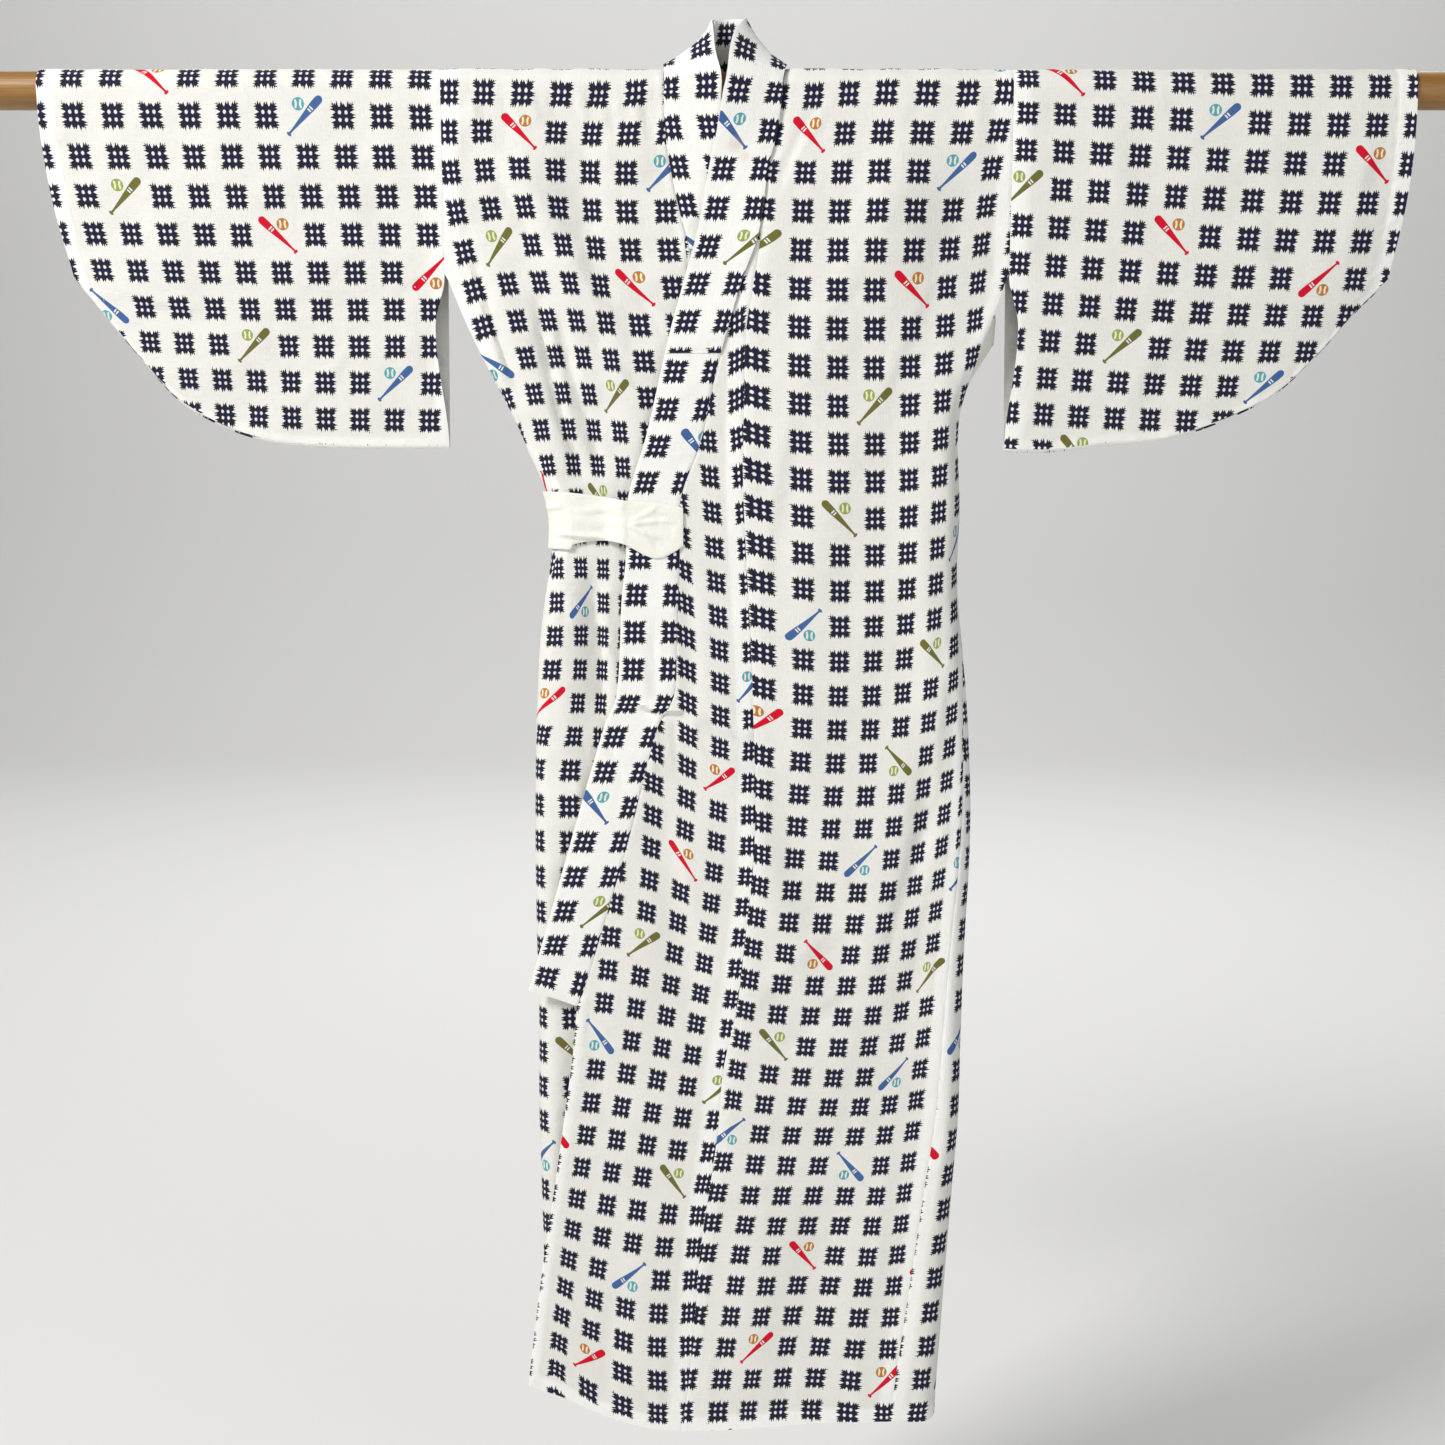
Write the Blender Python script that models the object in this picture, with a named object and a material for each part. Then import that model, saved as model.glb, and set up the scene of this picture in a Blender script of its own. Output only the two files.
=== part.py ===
"""Cotton yukata robe for a child, hung by its sleeves on a round wooden rod.

Frame: metres, +Z up, the wearer's front faces -Y and the wearer's left is +X.
The origin is the middle of the rod, on its axis.

Every panel is a grid of points on the middle of its cloth, worked out from the
heights, outlines and folds below, and then given its wall. The front layers,
from the inside out, are the under front, the outer front, and the collars,
which lie in line with the fronts they edge.
"""

import math
from collections import namedtuple

import bmesh
import bpy
from mathutils import Vector

MM = 0.001

# Rod
ROD_RADIUS = 15 * MM
ROD_LENGTH = 1300 * MM
ROD_CHAMFER = 1.5 * MM
ROD_SIDES = 40

# Walls and clearances
CLOTH = 1.0 * MM
COLLAR_WALL = 2.0 * MM
OVER_COLLAR_WALL = 1.0 * MM
COVER_EASE = 0.4 * MM
COVER_EASE_NECK = 1.5 * MM
TIE_WALL = 1.5 * MM
SEAM_GAP = 0.4 * MM
NECK_EASE = 1.1 * MM
NECK_LIFT = 0.7 * MM

# Hang of the robe
OVER_ROD = 16.1 * MM
ROD_STEPS = 8
LAP_STEP = 8 * MM
TURN_REACH = 16 * MM
ARMHOLE_X = 230 * MM
ARMHOLE_Z = -147 * MM
SIDE_SEAM_TOP = -280 * MM
OKUMI_TOP = -120 * MM
COLLAR_END = -745 * MM
COLLAR_END_DROP = 14 * MM
HEM_Z = -1140 * MM
CENTRE_BACK_X = 4 * MM
ARMHOLE_BLEND = 140 * MM

# Nominal heights of the body's rows above the plain skirt, then the skirt's own
UPPER_ROWS = [-12, -34, -62, -90, -120, -147, -180, -210, -245, -280,
              -305, -328, -352, -378, -410, -450, -490, -518, -555]
SKIRT_ROWS = 11
NEAR_COLUMNS = 6
NEAR_STEP = 9 * MM
FAR_COLUMNS = 6

# Silhouette of the body: height, wearer's right edge, wearer's left edge, in mm
Side = namedtuple("Side", "z right left")
SIDES = [
    Side(-147, -229, 229), Side(-190, -211, 214), Side(-230, -192, 200),
    Side(-260, -177, 192), Side(-290, -164, 191), Side(-325, -149, 193),
    Side(-350, -145, 193), Side(-380, -147, 192), Side(-410, -152, 193),
    Side(-450, -157, 197), Side(-500, -160, 202), Side(-560, -162, 206),
    Side(-620, -163, 207), Side(-700, -163, 204), Side(-780, -162, 202),
    Side(-860, -163, 201), Side(-940, -162, 196), Side(-1020, -161, 191),
    Side(-1140, -162, 184),
]

# Edges of the outer lap and of the hidden under lap: height and place, in mm
Edge = namedtuple("Edge", "z x")
OUTER_COLLAR_SEAM = [
    Edge(0, 44.5), Edge(-36, 40), Edge(-63, 33), Edge(-89, 30), Edge(-119, 24.6),
    Edge(-147, 14), Edge(-181, 3.3), Edge(-210, -5), Edge(-245, -13.5), Edge(-280, -21),
    Edge(-328, -38), Edge(-378, -39), Edge(-450, -42), Edge(-490, -44), Edge(-518, -58),
    Edge(-617, -84), Edge(-745, -122), Edge(-762, -128),
]
OUTER_COLLAR_EDGE = [
    Edge(0, -2.5), Edge(-36, -8.5), Edge(-63, -14.5), Edge(-112, -23.5), Edge(-147, -33.5),
    Edge(-200, -48), Edge(-245, -58.5), Edge(-280, -67), Edge(-328, -81.5), Edge(-378, -83.5),
    Edge(-410, -87), Edge(-490, -92), Edge(-518, -103), Edge(-745, -169),
]
OUTER_OKUMI_SEAM = [
    Edge(-120, 27), Edge(-157, 21), Edge(-193, 15.5), Edge(-246, 14), Edge(-310, 13.2),
    Edge(-378, 16), Edge(-450, 20), Edge(-490, 22), Edge(-580, 24.5), Edge(-622, 21.5),
    Edge(-686, 13), Edge(-758, 6), Edge(-814, -6), Edge(-866, -11), Edge(-920, -17),
    Edge(-976, -24), Edge(-1038, -28), Edge(-1100, -34), Edge(-1140, -40),
]
OUTER_OKUMI_EDGE = [
    Edge(-762, -128), Edge(-806, -132), Edge(-869, -140), Edge(-932, -148),
    Edge(-1014, -159), Edge(-1140, -174),
]
UNDER_COLLAR_SEAM = [
    Edge(0, -50.8), Edge(-44, -48.5), Edge(-90, -40), Edge(-128, -30), Edge(-183, -18),
    Edge(-215, -9), Edge(-280, 1), Edge(-328, 14), Edge(-378, 19), Edge(-490, 25),
    Edge(-617, 53), Edge(-745, 92), Edge(-762, 97),
]
UNDER_COLLAR_EDGE = [
    Edge(0, -4), Edge(-12, -4.4), Edge(-44, 0), Edge(-90, 9), Edge(-128, 17),
    Edge(-183, 29), Edge(-215, 38), Edge(-280, 48), Edge(-328, 60), Edge(-378, 64),
    Edge(-490, 71), Edge(-617, 98), Edge(-745, 137),
]
UNDER_OKUMI_SEAM = [
    Edge(-120, -34.5), Edge(-180, -27), Edge(-300, -22), Edge(-450, -16), Edge(-600, -8),
    Edge(-800, 0), Edge(-1000, 8), Edge(-1140, 14),
]
UNDER_OKUMI_EDGE = [
    Edge(-762, 97), Edge(-869, 108), Edge(-1014, 126), Edge(-1140, 140),
]

# Rise of the hem line at the hem, across the body, in mm
Rise = namedtuple("Rise", "x z")
OUTER_HEM = [
    Rise(-174, 39), Rise(-146, 29), Rise(-107, 11), Rise(-65, -1), Rise(-20, -3),
    Rise(44, 1), Rise(104, 5), Rise(190, 5),
]
INNER_HEM = [Rise(-162, 36), Rise(-107, 20), Rise(-50, 9), Rise(0, 6), Rise(190, 5)]
HEM_RISE_FROM = -700 * MM
HEM_RISE_FULL = -1100 * MM

# Side seams: how far each lies round on the front from the body's edge, in mm
Inset = namedtuple("Inset", "z reach")
RIGHT_SIDE_SEAM = [Inset(-280, 0), Inset(-328, 6), Inset(-378, 4), Inset(-450, -6), Inset(-1140, -6)]
LEFT_SIDE_SEAM = [
    Inset(-280, 0), Inset(-450, 0), Inset(-495, 4), Inset(-620, 9), Inset(-690, 11),
    Inset(-778, 15), Inset(-850, 20), Inset(-920, 24), Inset(-1000, 30), Inset(-1140, 36),
]

# Largest folds, as straight soft ridges (height over 0) and troughs, in mm
Fold = namedtuple("Fold", "x0 z0 x1 z1 width height")
UNDER_FOLDS = [
    Fold(-175, -25, -70, -300, 17, 3.0), Fold(-120, -40, -95, -300, 15, -2.5),
    Fold(-205, -110, -120, -310, 14, 2.5), Fold(-150, -200, -110, -330, 11, -2.5),
    Fold(-112, -385, -106, -520, 10, -5.0), Fold(-132, -378, -140, -640, 13, 2.5),
    Fold(-128, -640, -138, -1080, 16, -2.5),
]
OUTER_FOLDS = [
    Fold(150, -40, 60, -240, 22, 2.2), Fold(195, -60, 120, -330, 18, -2.0),
    Fold(95, -210, 60, -560, 22, 1.8), Fold(160, -330, 175, -560, 13, 3.0),
    Fold(178, -500, 150, -790, 12, -3.0), Fold(150, -560, 95, -850, 20, 2.6),
    Fold(-10, -500, 70, -760, 18, 2.6), Fold(30, -540, 130, -800, 20, -2.0),
    Fold(-60, -560, -20, -820, 16, -2.0), Fold(-30, -700, 110, -860, 26, 2.4),
    Fold(-100, -840, 60, -960, 24, 2.2), Fold(100, -820, 70, -1110, 24, -2.0),
    Fold(-70, -930, -80, -1120, 20, 2.2), Fold(30, -900, 20, -1120, 22, 2.0),
    Fold(-35, -505, 25, -525, 8, 2.6), Fold(-33, -380, -28, -500, 8, -2.0),
]
BACK_FOLDS = [
    Fold(-185, -60, -120, -330, 18, 3.5), Fold(185, -60, 130, -330, 18, 3.5),
    Fold(-95, -120, -65, -330, 18, -3.0), Fold(100, -130, 70, -330, 18, -3.0),
    Fold(-110, -375, -125, -760, 17, 4.5), Fold(-60, -375, -72, -700, 17, -4.0),
    Fold(110, -375, 140, -820, 17, 4.5), Fold(62, -375, 80, -740, 17, -4.0),
    Fold(-30, -380, -34, -640, 14, 3.0), Fold(36, -380, 40, -660, 14, 3.0),
    Fold(-100, -700, -110, -1120, 24, 3.5), Fold(90, -740, 110, -1120, 24, 3.5),
]

# Collar round the neck: where it meets the neck seam and where its free edge
# is, in mm, from the wearer's left shoulder over the back to the right one
Station = namedtuple("Station", "angle seam_x edge_x edge_y edge_z")
LEFT_NECK = [
    Station(0.0, 44.5, -1.0, -24.5, 5), Station(22.5, 45.5, 0.5, -24.0, 14),
    Station(45.0, 46.5, 1.6, -21.5, 24), Station(67.5, 47.5, 3.0, -16.5, 34),
    Station(90.0, 47.5, 6.0, -8.0, 45), Station(112.5, 42.0, 11.5, 2.0, 54),
    Station(135.0, 28.0, 12.5, 11.0, 58),
]
BACK_NECK = Station(157.5, 4.0, 2.5, 15.5, 59)
RIGHT_NECK = [
    Station(0.0, -50.8, -4.0, -18.8, 4), Station(22.5, -51.0, -5.0, -18.3, 13),
    Station(45.0, -51.0, -7.5, -15.8, 22), Station(67.5, -51.0, -9.0, -11.0, 31),
    Station(90.0, -50.0, -9.5, -4.0, 42), Station(112.5, -38.0, -9.5, 4.0, 52),
    Station(135.0, -22.0, -8.5, 12.0, 57.5),
]
COLLAR_COLUMNS = 4
OVER_COLLAR_END = -210 * MM
OUTER_COLLAR_Y = -24.3 * MM
UNDER_COLLAR_Y = -18.8 * MM
COLLAR_LEVEL_FROM = -120 * MM

# Sleeves: lower edge from the cuff's foot to the open inner edge, in mm
Foot = namedtuple("Foot", "x z")
RIGHT_SLEEVE_FOOT = [
    Foot(-534, -149), Foot(-512, -178), Foot(-485, -211), Foot(-457, -244), Foot(-433, -261),
    Foot(-402, -275), Foot(-369, -283), Foot(-322, -286), Foot(-276, -286.5), Foot(-230, -286.5),
]
LEFT_SLEEVE_FOOT = [
    Foot(541, -151), Foot(515, -178), Foot(487, -210.5), Foot(454, -242), Foot(414, -263),
    Foot(375, -277), Foot(343, -282), Foot(307, -285), Foot(269, -289.5), Foot(230, -289),
]
CUFF_X = 554 * MM
CUFF_BOW = 5 * MM
FOOT_RADIUS = 2.4 * MM
SLEEVE_STEPS = 7
SLEEVE_TAPER = 1.6

# Ties: the outer one crosses the collar to the wearer's right and the back;
# the inner one leaves by the left underarm opening. Heights and places in mm
Band = namedtuple("Band", "x top bottom")
TIE_FRONT = [
    Band(-36, -335, -366), Band(-43, -333, -371), Band(-55, -331, -376), Band(-66, -330, -374.5),
    Band(-80, -329.5, -367), Band(-87, -328.5, -364), Band(-93, -327.5, -362.5),
    Band(-100, -326.5, -362), Band(-112, -324.5, -362.5), Band(-126, -323, -365),
]
TIE_TURN = (-322, -369)
TIE_BACK = [Band(-115, -322, -369), Band(-85, -324, -369), Band(-55, -326, -370), Band(-27, -327, -370)]
TIE_ROWS = 3
TIE_STEP_FROM = -88 * MM
TIE_STEP_TO = -99 * MM
TIE_CLEAR = 0.9 * MM
TIE_TURN_CLEAR = 1.7 * MM
TIE_PRESS = (-300, -318, -375, -395)
TURN_STEPS = 4
Route = namedtuple("Route", "x y z nx ny width")
INNER_TIE = [
    Route(45, -18.6, -350, 0, -1, 44), Route(62, -18.6, -346, 0, -1, 44),
    Route(90, -17, -334, 0.1, -1, 44), Route(118, -13, -312, 0.15, -1, 42),
    Route(145, -8, -282, 0.2, -1, 38), Route(172, -4, -248, 0.2, -1, 32),
    Route(197, -1, -214, 0.3, -1, 27), Route(213, 3, -197, 0.8, -0.6, 25),
    Route(221, 10, -190, 1, 0, 25), Route(220.5, 17, -189, 0.9, 0.5, 25),
    Route(212, 21, -194, 0.3, 1, 26), Route(193, 22.5, -209, 0, 1, 30),
    Route(160, 23, -238, 0, 1, 36), Route(122, 23.5, -272, 0, 1, 42),
    Route(88, 23, -303, 0, 1, 44), Route(62, 22.5, -328, 0, 1, 43),
    Route(50, 22.5, -340, 0, 1, 40), Route(37, 22.5, -346, 0, 1, 38),
]
KNOT_CENTRE = (4, 26.5, -347)
KNOT_SIZE = (58, 15, 50)
KNOT_RINGS = 7
KNOT_SIDES = 20
TAIL_TOP = -371.4
TAILS = {"tie_tail_outer": (-11, -37, 128), "tie_tail_inner": (19, 46, 112)}
TAIL_WIDTH = 40 * MM
TAIL_STEPS = 6
TAIL_Y = 23.5 * MM

COTTON = (0.90, 0.89, 0.87)
IVORY = (0.93, 0.92, 0.88)
OAK = (0.42, 0.24, 0.09)


# Small helpers

def smooth(start, end, value):
    """Eased step from 0 at start to 1 at end."""
    t = min(max((value - start) / (end - start), 0.0), 1.0)
    return t * t * (3 - 2 * t)


def mix(a, b, t):
    return a + (b - a) * t


def curve(rows, at):
    """Soft curve through (place, value) rows in mm, read and given in metres."""
    pts = sorted((row[0] * MM, row[1] * MM) for row in rows)
    if at <= pts[0][0]:
        return pts[0][1]
    if at >= pts[-1][0]:
        return pts[-1][1]
    i = max(k for k in range(len(pts) - 1) if pts[k][0] <= at)

    def slope(k):
        lo, hi = max(k - 1, 0), min(k + 1, len(pts) - 1)
        return (pts[hi][1] - pts[lo][1]) / (pts[hi][0] - pts[lo][0])

    step = pts[i + 1][0] - pts[i][0]
    t = (at - pts[i][0]) / step
    a, b = pts[i][1], pts[i + 1][1]
    return ((2 * t**3 - 3 * t**2 + 1) * a + (t**3 - 2 * t**2 + t) * step * slope(i)
            + (3 * t**2 - 2 * t**3) * b + (t**3 - t**2) * step * slope(i + 1))


def fold_height(folds, x, z):
    """How far the folds lift the cloth outwards at a place."""
    total = 0.0
    for fold in folds:
        ax, az = fold.x0 * MM, fold.z0 * MM
        dx, dz = fold.x1 * MM - ax, fold.z1 * MM - az
        length = math.hypot(dx, dz)
        t = ((x - ax) * dx + (z - az) * dz) / length**2
        if -0.1 < t < 1.1:
            off = ((x - ax) * dz - (z - az) * dx) / length / (fold.width * MM)
            ends = smooth(-0.1, 0.2, t) * smooth(1.1, 0.8, t)
            total += fold.height * MM * ends * math.exp(-off * off)
    return total


def pressed(z):
    """How free the folds are beside the outer tie, which holds them flat."""
    top, full, held, low = (v * MM for v in TIE_PRESS)
    return 1 - 0.85 * smooth(top, full, z) * smooth(low, held, z)


def new_object(name, bm, color, roughness, smooth_angle=40):
    """Close a bmesh into a named object with its material."""
    bmesh.ops.recalc_face_normals(bm, faces=bm.faces[:])
    mesh = bpy.data.meshes.new(name)
    bm.to_mesh(mesh)
    bm.free()
    mesh.shade_smooth()
    mesh.set_sharp_from_angle(angle=math.radians(smooth_angle))
    obj = bpy.data.objects.new(name, mesh)
    bpy.context.scene.collection.objects.link(obj)
    mat = bpy.data.materials.new(name)
    mat.use_nodes = True
    shader = mat.node_tree.nodes["Principled BSDF"]
    shader.inputs["Base Color"].default_value = (*color, 1)
    shader.inputs["Roughness"].default_value = roughness
    shader.inputs["Metallic"].default_value = 0.0
    mesh.materials.append(mat)
    return obj


def grid_normals(rows, closed):
    """Unit normals of a grid of points, whose rows may close on themselves."""
    count, width = len(rows), len(rows[0])
    out = []
    for i in range(count):
        line = []
        for j in range(width):
            up, down = rows[min(i + 1, count - 1)][j], rows[max(i - 1, 0)][j]
            if closed:
                right, left = rows[i][(j + 1) % width], rows[i][j - 1]
            else:
                right, left = rows[i][min(j + 1, width - 1)], rows[i][max(j - 1, 0)]
            line.append((up - down).cross(right - left).normalized())
        out.append(line)
    return out


def moved_out(rows, distance, closed=False):
    """The same grid, each point moved along the cloth's normal."""
    normals = grid_normals(rows, closed)
    return [[p + n * distance for p, n in zip(line, ns)] for line, ns in zip(rows, normals)]


def sheet(name, rows, wall, color, closed=False):
    """A wall of even thickness on both sides of a grid of points."""
    bm = bmesh.new()
    skins = []
    for half in (wall / 2, -wall / 2):
        skins.append([[bm.verts.new(p) for p in line] for line in moved_out(rows, half, closed)])
    count, width = len(rows), len(rows[0])
    spans = range(width if closed else width - 1)
    for skin in skins:
        for i in range(count - 1):
            for j in spans:
                k = (j + 1) % width
                bm.faces.new((skin[i][j], skin[i][k], skin[i + 1][k], skin[i + 1][j]))
    front, back = skins
    for i in (0, count - 1):
        for j in spans:
            k = (j + 1) % width
            bm.faces.new((front[i][j], front[i][k], back[i][k], back[i][j]))
    if not closed:
        for j in (0, width - 1):
            for i in range(count - 1):
                bm.faces.new((front[i][j], front[i + 1][j], back[i + 1][j], back[i][j]))
    return new_object(name, bm, color, 0.85)


# Form of the hanging body

def body_rows():
    """Nominal heights from just under the rod to the hem."""
    upper = [z * MM for z in UPPER_ROWS]
    step = (HEM_Z - upper[-1]) / SKIRT_ROWS
    return upper + [upper[-1] + step * (k + 1) for k in range(SKIRT_ROWS)]


def sleeve_depth(z, foot_z):
    """Half the depth of a sleeve between its two layers at a height."""
    t = min(max(z / foot_z, 0.0), 1.0)
    return mix(OVER_ROD, FOOT_RADIUS, t**SLEEVE_TAPER)


def armhole_draw(x, z):
    """How far the body's layers close up to meet the thinner sleeve."""
    near = smooth(ARMHOLE_BLEND, ARMHOLE_X, abs(x)) * smooth(SIDE_SEAM_TOP, ARMHOLE_Z, z)
    return (OVER_ROD - sleeve_depth(max(z, ARMHOLE_Z), -285.5 * MM)) * near


def under_y(x, z):
    return -OVER_ROD - fold_height(UNDER_FOLDS, x, z) * pressed(z) + armhole_draw(x, z)


def outer_y(x, z):
    at_armhole = smooth(120 * MM, 225 * MM, x) * smooth(-260 * MM, ARMHOLE_Z, z)
    lap = LAP_STEP * smooth(0, -100 * MM, z) * (1 - at_armhole)
    return -OVER_ROD - lap - fold_height(OUTER_FOLDS, x, z) + armhole_draw(x, z)


def back_y(x, z):
    return OVER_ROD + fold_height(BACK_FOLDS, x, z) * pressed(z) - armhole_draw(x, z)


def front_y(side, x, z):
    return outer_y(x, z) if side > 0 else under_y(x, z)


def row_height(rises, x, z):
    """A row's real height, which follows the hem's own line low down."""
    share = smooth(HEM_RISE_FROM, HEM_RISE_FULL, z)
    return z + share * curve(rises, x)


def silhouette(side, z):
    if z >= ARMHOLE_Z:
        return ARMHOLE_X
    column = 2 if side > 0 else 1
    return side * curve([(row[0], row[column]) for row in SIDES], z)


def ring(side, z):
    """The side turn at a height: where it starts, its depth, angle and length."""
    turn = math.radians(90) * smooth(ARMHOLE_Z, SIDE_SEAM_TOP, z)
    start = silhouette(side, z) - TURN_REACH * math.sin(turn)
    deep = (back_y(side * start, z) - front_y(side, side * start, z)) / 2
    return start, deep, turn, turn * (TURN_REACH + deep) / 2


def on_body(side, face, z, along, lift=0.0):
    """A point on the front (-1) or back (+1) layer, measured along the cloth
    from the body's edge; below 0 it lies round the edge on the other face."""
    if along < 0:
        return on_body(side, -face, z, -along, lift)
    start, deep, turn, length = ring(side, z)
    if along < length:
        angle = turn * (1 - along / length)
        x = start + (TURN_REACH + lift) * math.sin(angle)
        edge = front_y(side, side * start, z) if face < 0 else back_y(side * start, z)
        y = edge - face * deep * (1 - math.cos(angle)) + face * lift * math.cos(angle)
    else:
        x = start - (along - length)
        flat = front_y(side, side * x, z) if face < 0 else back_y(side * x, z)
        y = flat + face * lift
    x *= side
    rises = OUTER_HEM if side > 0 and face < 0 else INNER_HEM
    return Vector((x, y, row_height(rises, x, z)))


def along_to(side, z, x):
    """Length along the cloth from the body's edge to a place on the flat."""
    start, _, _, length = ring(side, z)
    return length + start - side * x


def seam_along(side, z):
    """Length along the front from the body's edge to the side seam."""
    if z > SIDE_SEAM_TOP:
        return 0.0
    reach = curve(LEFT_SIDE_SEAM if side > 0 else RIGHT_SIDE_SEAM, z)
    _, deep, _, length = ring(side, z)
    over = abs(reach)
    if over < TURN_REACH:
        along = math.acos(1 - over / TURN_REACH) * (TURN_REACH + deep) / 2
    else:
        along = length + over - TURN_REACH
    return math.copysign(along, reach)


def columns(first, last):
    """Places of a panel's columns: close together by the turn, then wider."""
    near = [first + NEAR_STEP * k for k in range(NEAR_COLUMNS)]
    return near + [mix(near[-1], last, (k + 1) / FAR_COLUMNS) for k in range(FAR_COLUMNS)]


def over_rod(x, angle):
    turn = math.radians(angle)
    return Vector((x, -OVER_ROD * math.cos(turn), OVER_ROD * math.sin(turn)))


def neck_stations(side):
    return (LEFT_NECK if side > 0 else RIGHT_NECK) + [BACK_NECK]


def front_edge(side, z):
    """Inner edge of a front panel: the collar's seam, then the okumi's."""
    if side > 0:
        table = OUTER_COLLAR_SEAM if z > OKUMI_TOP else OUTER_OKUMI_SEAM
    else:
        table = UNDER_COLLAR_SEAM if z > OKUMI_TOP else UNDER_OKUMI_SEAM
    return curve(table, z)


def body_panel(side):
    """One length of cloth: front, over the shoulder, and back."""
    half = SEAM_GAP / 2
    heights = body_rows()
    rows = []
    for z in reversed(heights):
        seam = seam_along(side, z)
        last = along_to(side, z, front_edge(side, z) + side * half)
        rows.append([on_body(side, -1, z, d) for d in columns(seam + half, last)])
    for station in neck_stations(side):
        gap = half if station is BACK_NECK else 0.0
        last = ARMHOLE_X - side * station.seam_x * MM - gap
        rows.append([over_rod(side * (ARMHOLE_X - d), station.angle) for d in columns(half, last)])
    last = ARMHOLE_X - side * CENTRE_BACK_X - half
    rows.append([over_rod(side * (ARMHOLE_X - d), 180.0) for d in columns(half, last)])
    for z in heights:
        seam = seam_along(side, z)
        last = along_to(side, z, CENTRE_BACK_X) - half
        rows.append([on_body(side, 1, z, d) for d in columns(half - seam, last)])
    return rows


# Lap pieces on the outer and under layers

def lap_row(side, z, x_from, x_to, steps):
    rises = OUTER_HEM if side > 0 else INNER_HEM
    row = []
    for k in range(steps + 1):
        x = mix(x_from, x_to, k / steps)
        row.append(Vector((x, front_y(side, x, z), row_height(rises, x, z))))
    return row


def okumi_panel(side):
    """The overlap strip between a front panel and its collar or free edge."""
    seam = OUTER_OKUMI_SEAM if side > 0 else UNDER_OKUMI_SEAM
    collar = OUTER_COLLAR_SEAM if side > 0 else UNDER_COLLAR_SEAM
    edge = OUTER_OKUMI_EDGE if side > 0 else UNDER_OKUMI_EDGE
    half = side * SEAM_GAP / 2
    rows = []
    for z in [z for z in body_rows() if z <= OKUMI_TOP]:
        limit = curve(collar, z) if z > -750 * MM else curve(edge, z)
        rows.append(lap_row(side, z, curve(seam, z) - half, limit + half, 5))
    return rows


def collar_row(side, z):
    seam = curve(OUTER_COLLAR_SEAM if side > 0 else UNDER_COLLAR_SEAM, z)
    edge = curve(OUTER_COLLAR_EDGE if side > 0 else UNDER_COLLAR_EDGE, z)
    row = lap_row(side, z, seam - side * SEAM_GAP / 2, edge, COLLAR_COLUMNS)
    if z > COLLAR_LEVEL_FROM:
        level = OUTER_COLLAR_Y if side > 0 else UNDER_COLLAR_Y
        share = smooth(COLLAR_LEVEL_FROM, -34 * MM, z)
        for k, point in enumerate(row):
            point.y = mix(point.y, mix(row[0].y, level, k / COLLAR_COLUMNS), share)
    return row


def neck_row(station):
    seam = over_rod(station.seam_x * MM, station.angle)
    seam += Vector((0, seam.y, seam.z)).normalized() * NECK_LIFT
    edge = Vector((station.edge_x, station.edge_y, station.edge_z)) * MM
    start = seam + (edge - seam).normalized() * NECK_EASE
    return [start.lerp(edge, k / COLLAR_COLUMNS) for k in range(COLLAR_COLUMNS + 1)]


def collar_grid(lowest):
    """The collar from one lap's end, round the neck, to the other's."""
    heights = [z for z in body_rows() if z > lowest] + [lowest]
    rows = [collar_row(1, z) for z in sorted(heights)]
    rows += [neck_row(s) for s in LEFT_NECK] + [neck_row(BACK_NECK)]
    rows += [neck_row(s) for s in reversed(RIGHT_NECK)]
    rows += [collar_row(-1, z) for z in sorted(heights, reverse=True)]
    return rows


def collar():
    rows = collar_grid(COLLAR_END)
    for side, row in ((1, rows[0]), (-1, rows[-1])):
        for k, point in enumerate(row):
            down = point.z - COLLAR_END_DROP * (1 - k / COLLAR_COLUMNS)
            row[k] = Vector((collar_row(side, down)[k].x, point.y, down))
    sheet("collar", rows, COLLAR_WALL, COTTON)


def over_collar():
    """The short cover sewn over the collar round the neck."""
    rows = collar_grid(OVER_COLLAR_END)
    for line, normals in zip(rows, grid_normals(rows, False)):
        for k, point in enumerate(line):
            ease = mix(COVER_EASE, COVER_EASE_NECK, smooth(-60 * MM, 0, point.z))
            line[k] = point + normals[k] * ((COLLAR_WALL + OVER_COLLAR_WALL) / 2 + ease)
    sheet("over_collar", rows, OVER_COLLAR_WALL, COTTON)


# Sleeves

def sleeve_ring(side, top_x, foot, bow):
    """One closed section of a sleeve, from its foot up over the rod and back."""
    foot_x, foot_z = foot.x * MM, foot.z * MM
    half = []
    for k in range(SLEEVE_STEPS):
        z = mix(foot_z + FOOT_RADIUS, 0, k / SLEEVE_STEPS)
        half.append((z, sleeve_depth(z, foot_z)))
    section = [(-y, z) for z, y in half]
    for k in range(ROD_STEPS + 1):
        point = over_rod(0, 180 * k / ROD_STEPS)
        section.append((point.y, point.z))
    section += [(y, z) for z, y in reversed(half)]
    low = FOOT_RADIUS * math.sqrt(0.5)
    centre = foot_z + FOOT_RADIUS
    section += [(low, centre - low), (0.0, foot_z), (-low, centre - low)]
    points = []
    for y, z in section:
        t = min(max(z / foot_z, 0.0), 1.0)
        x = mix(top_x, foot_x, t) + side * bow * math.sin(math.pi * t)
        points.append(Vector((x, y, z)))
    return points


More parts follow.
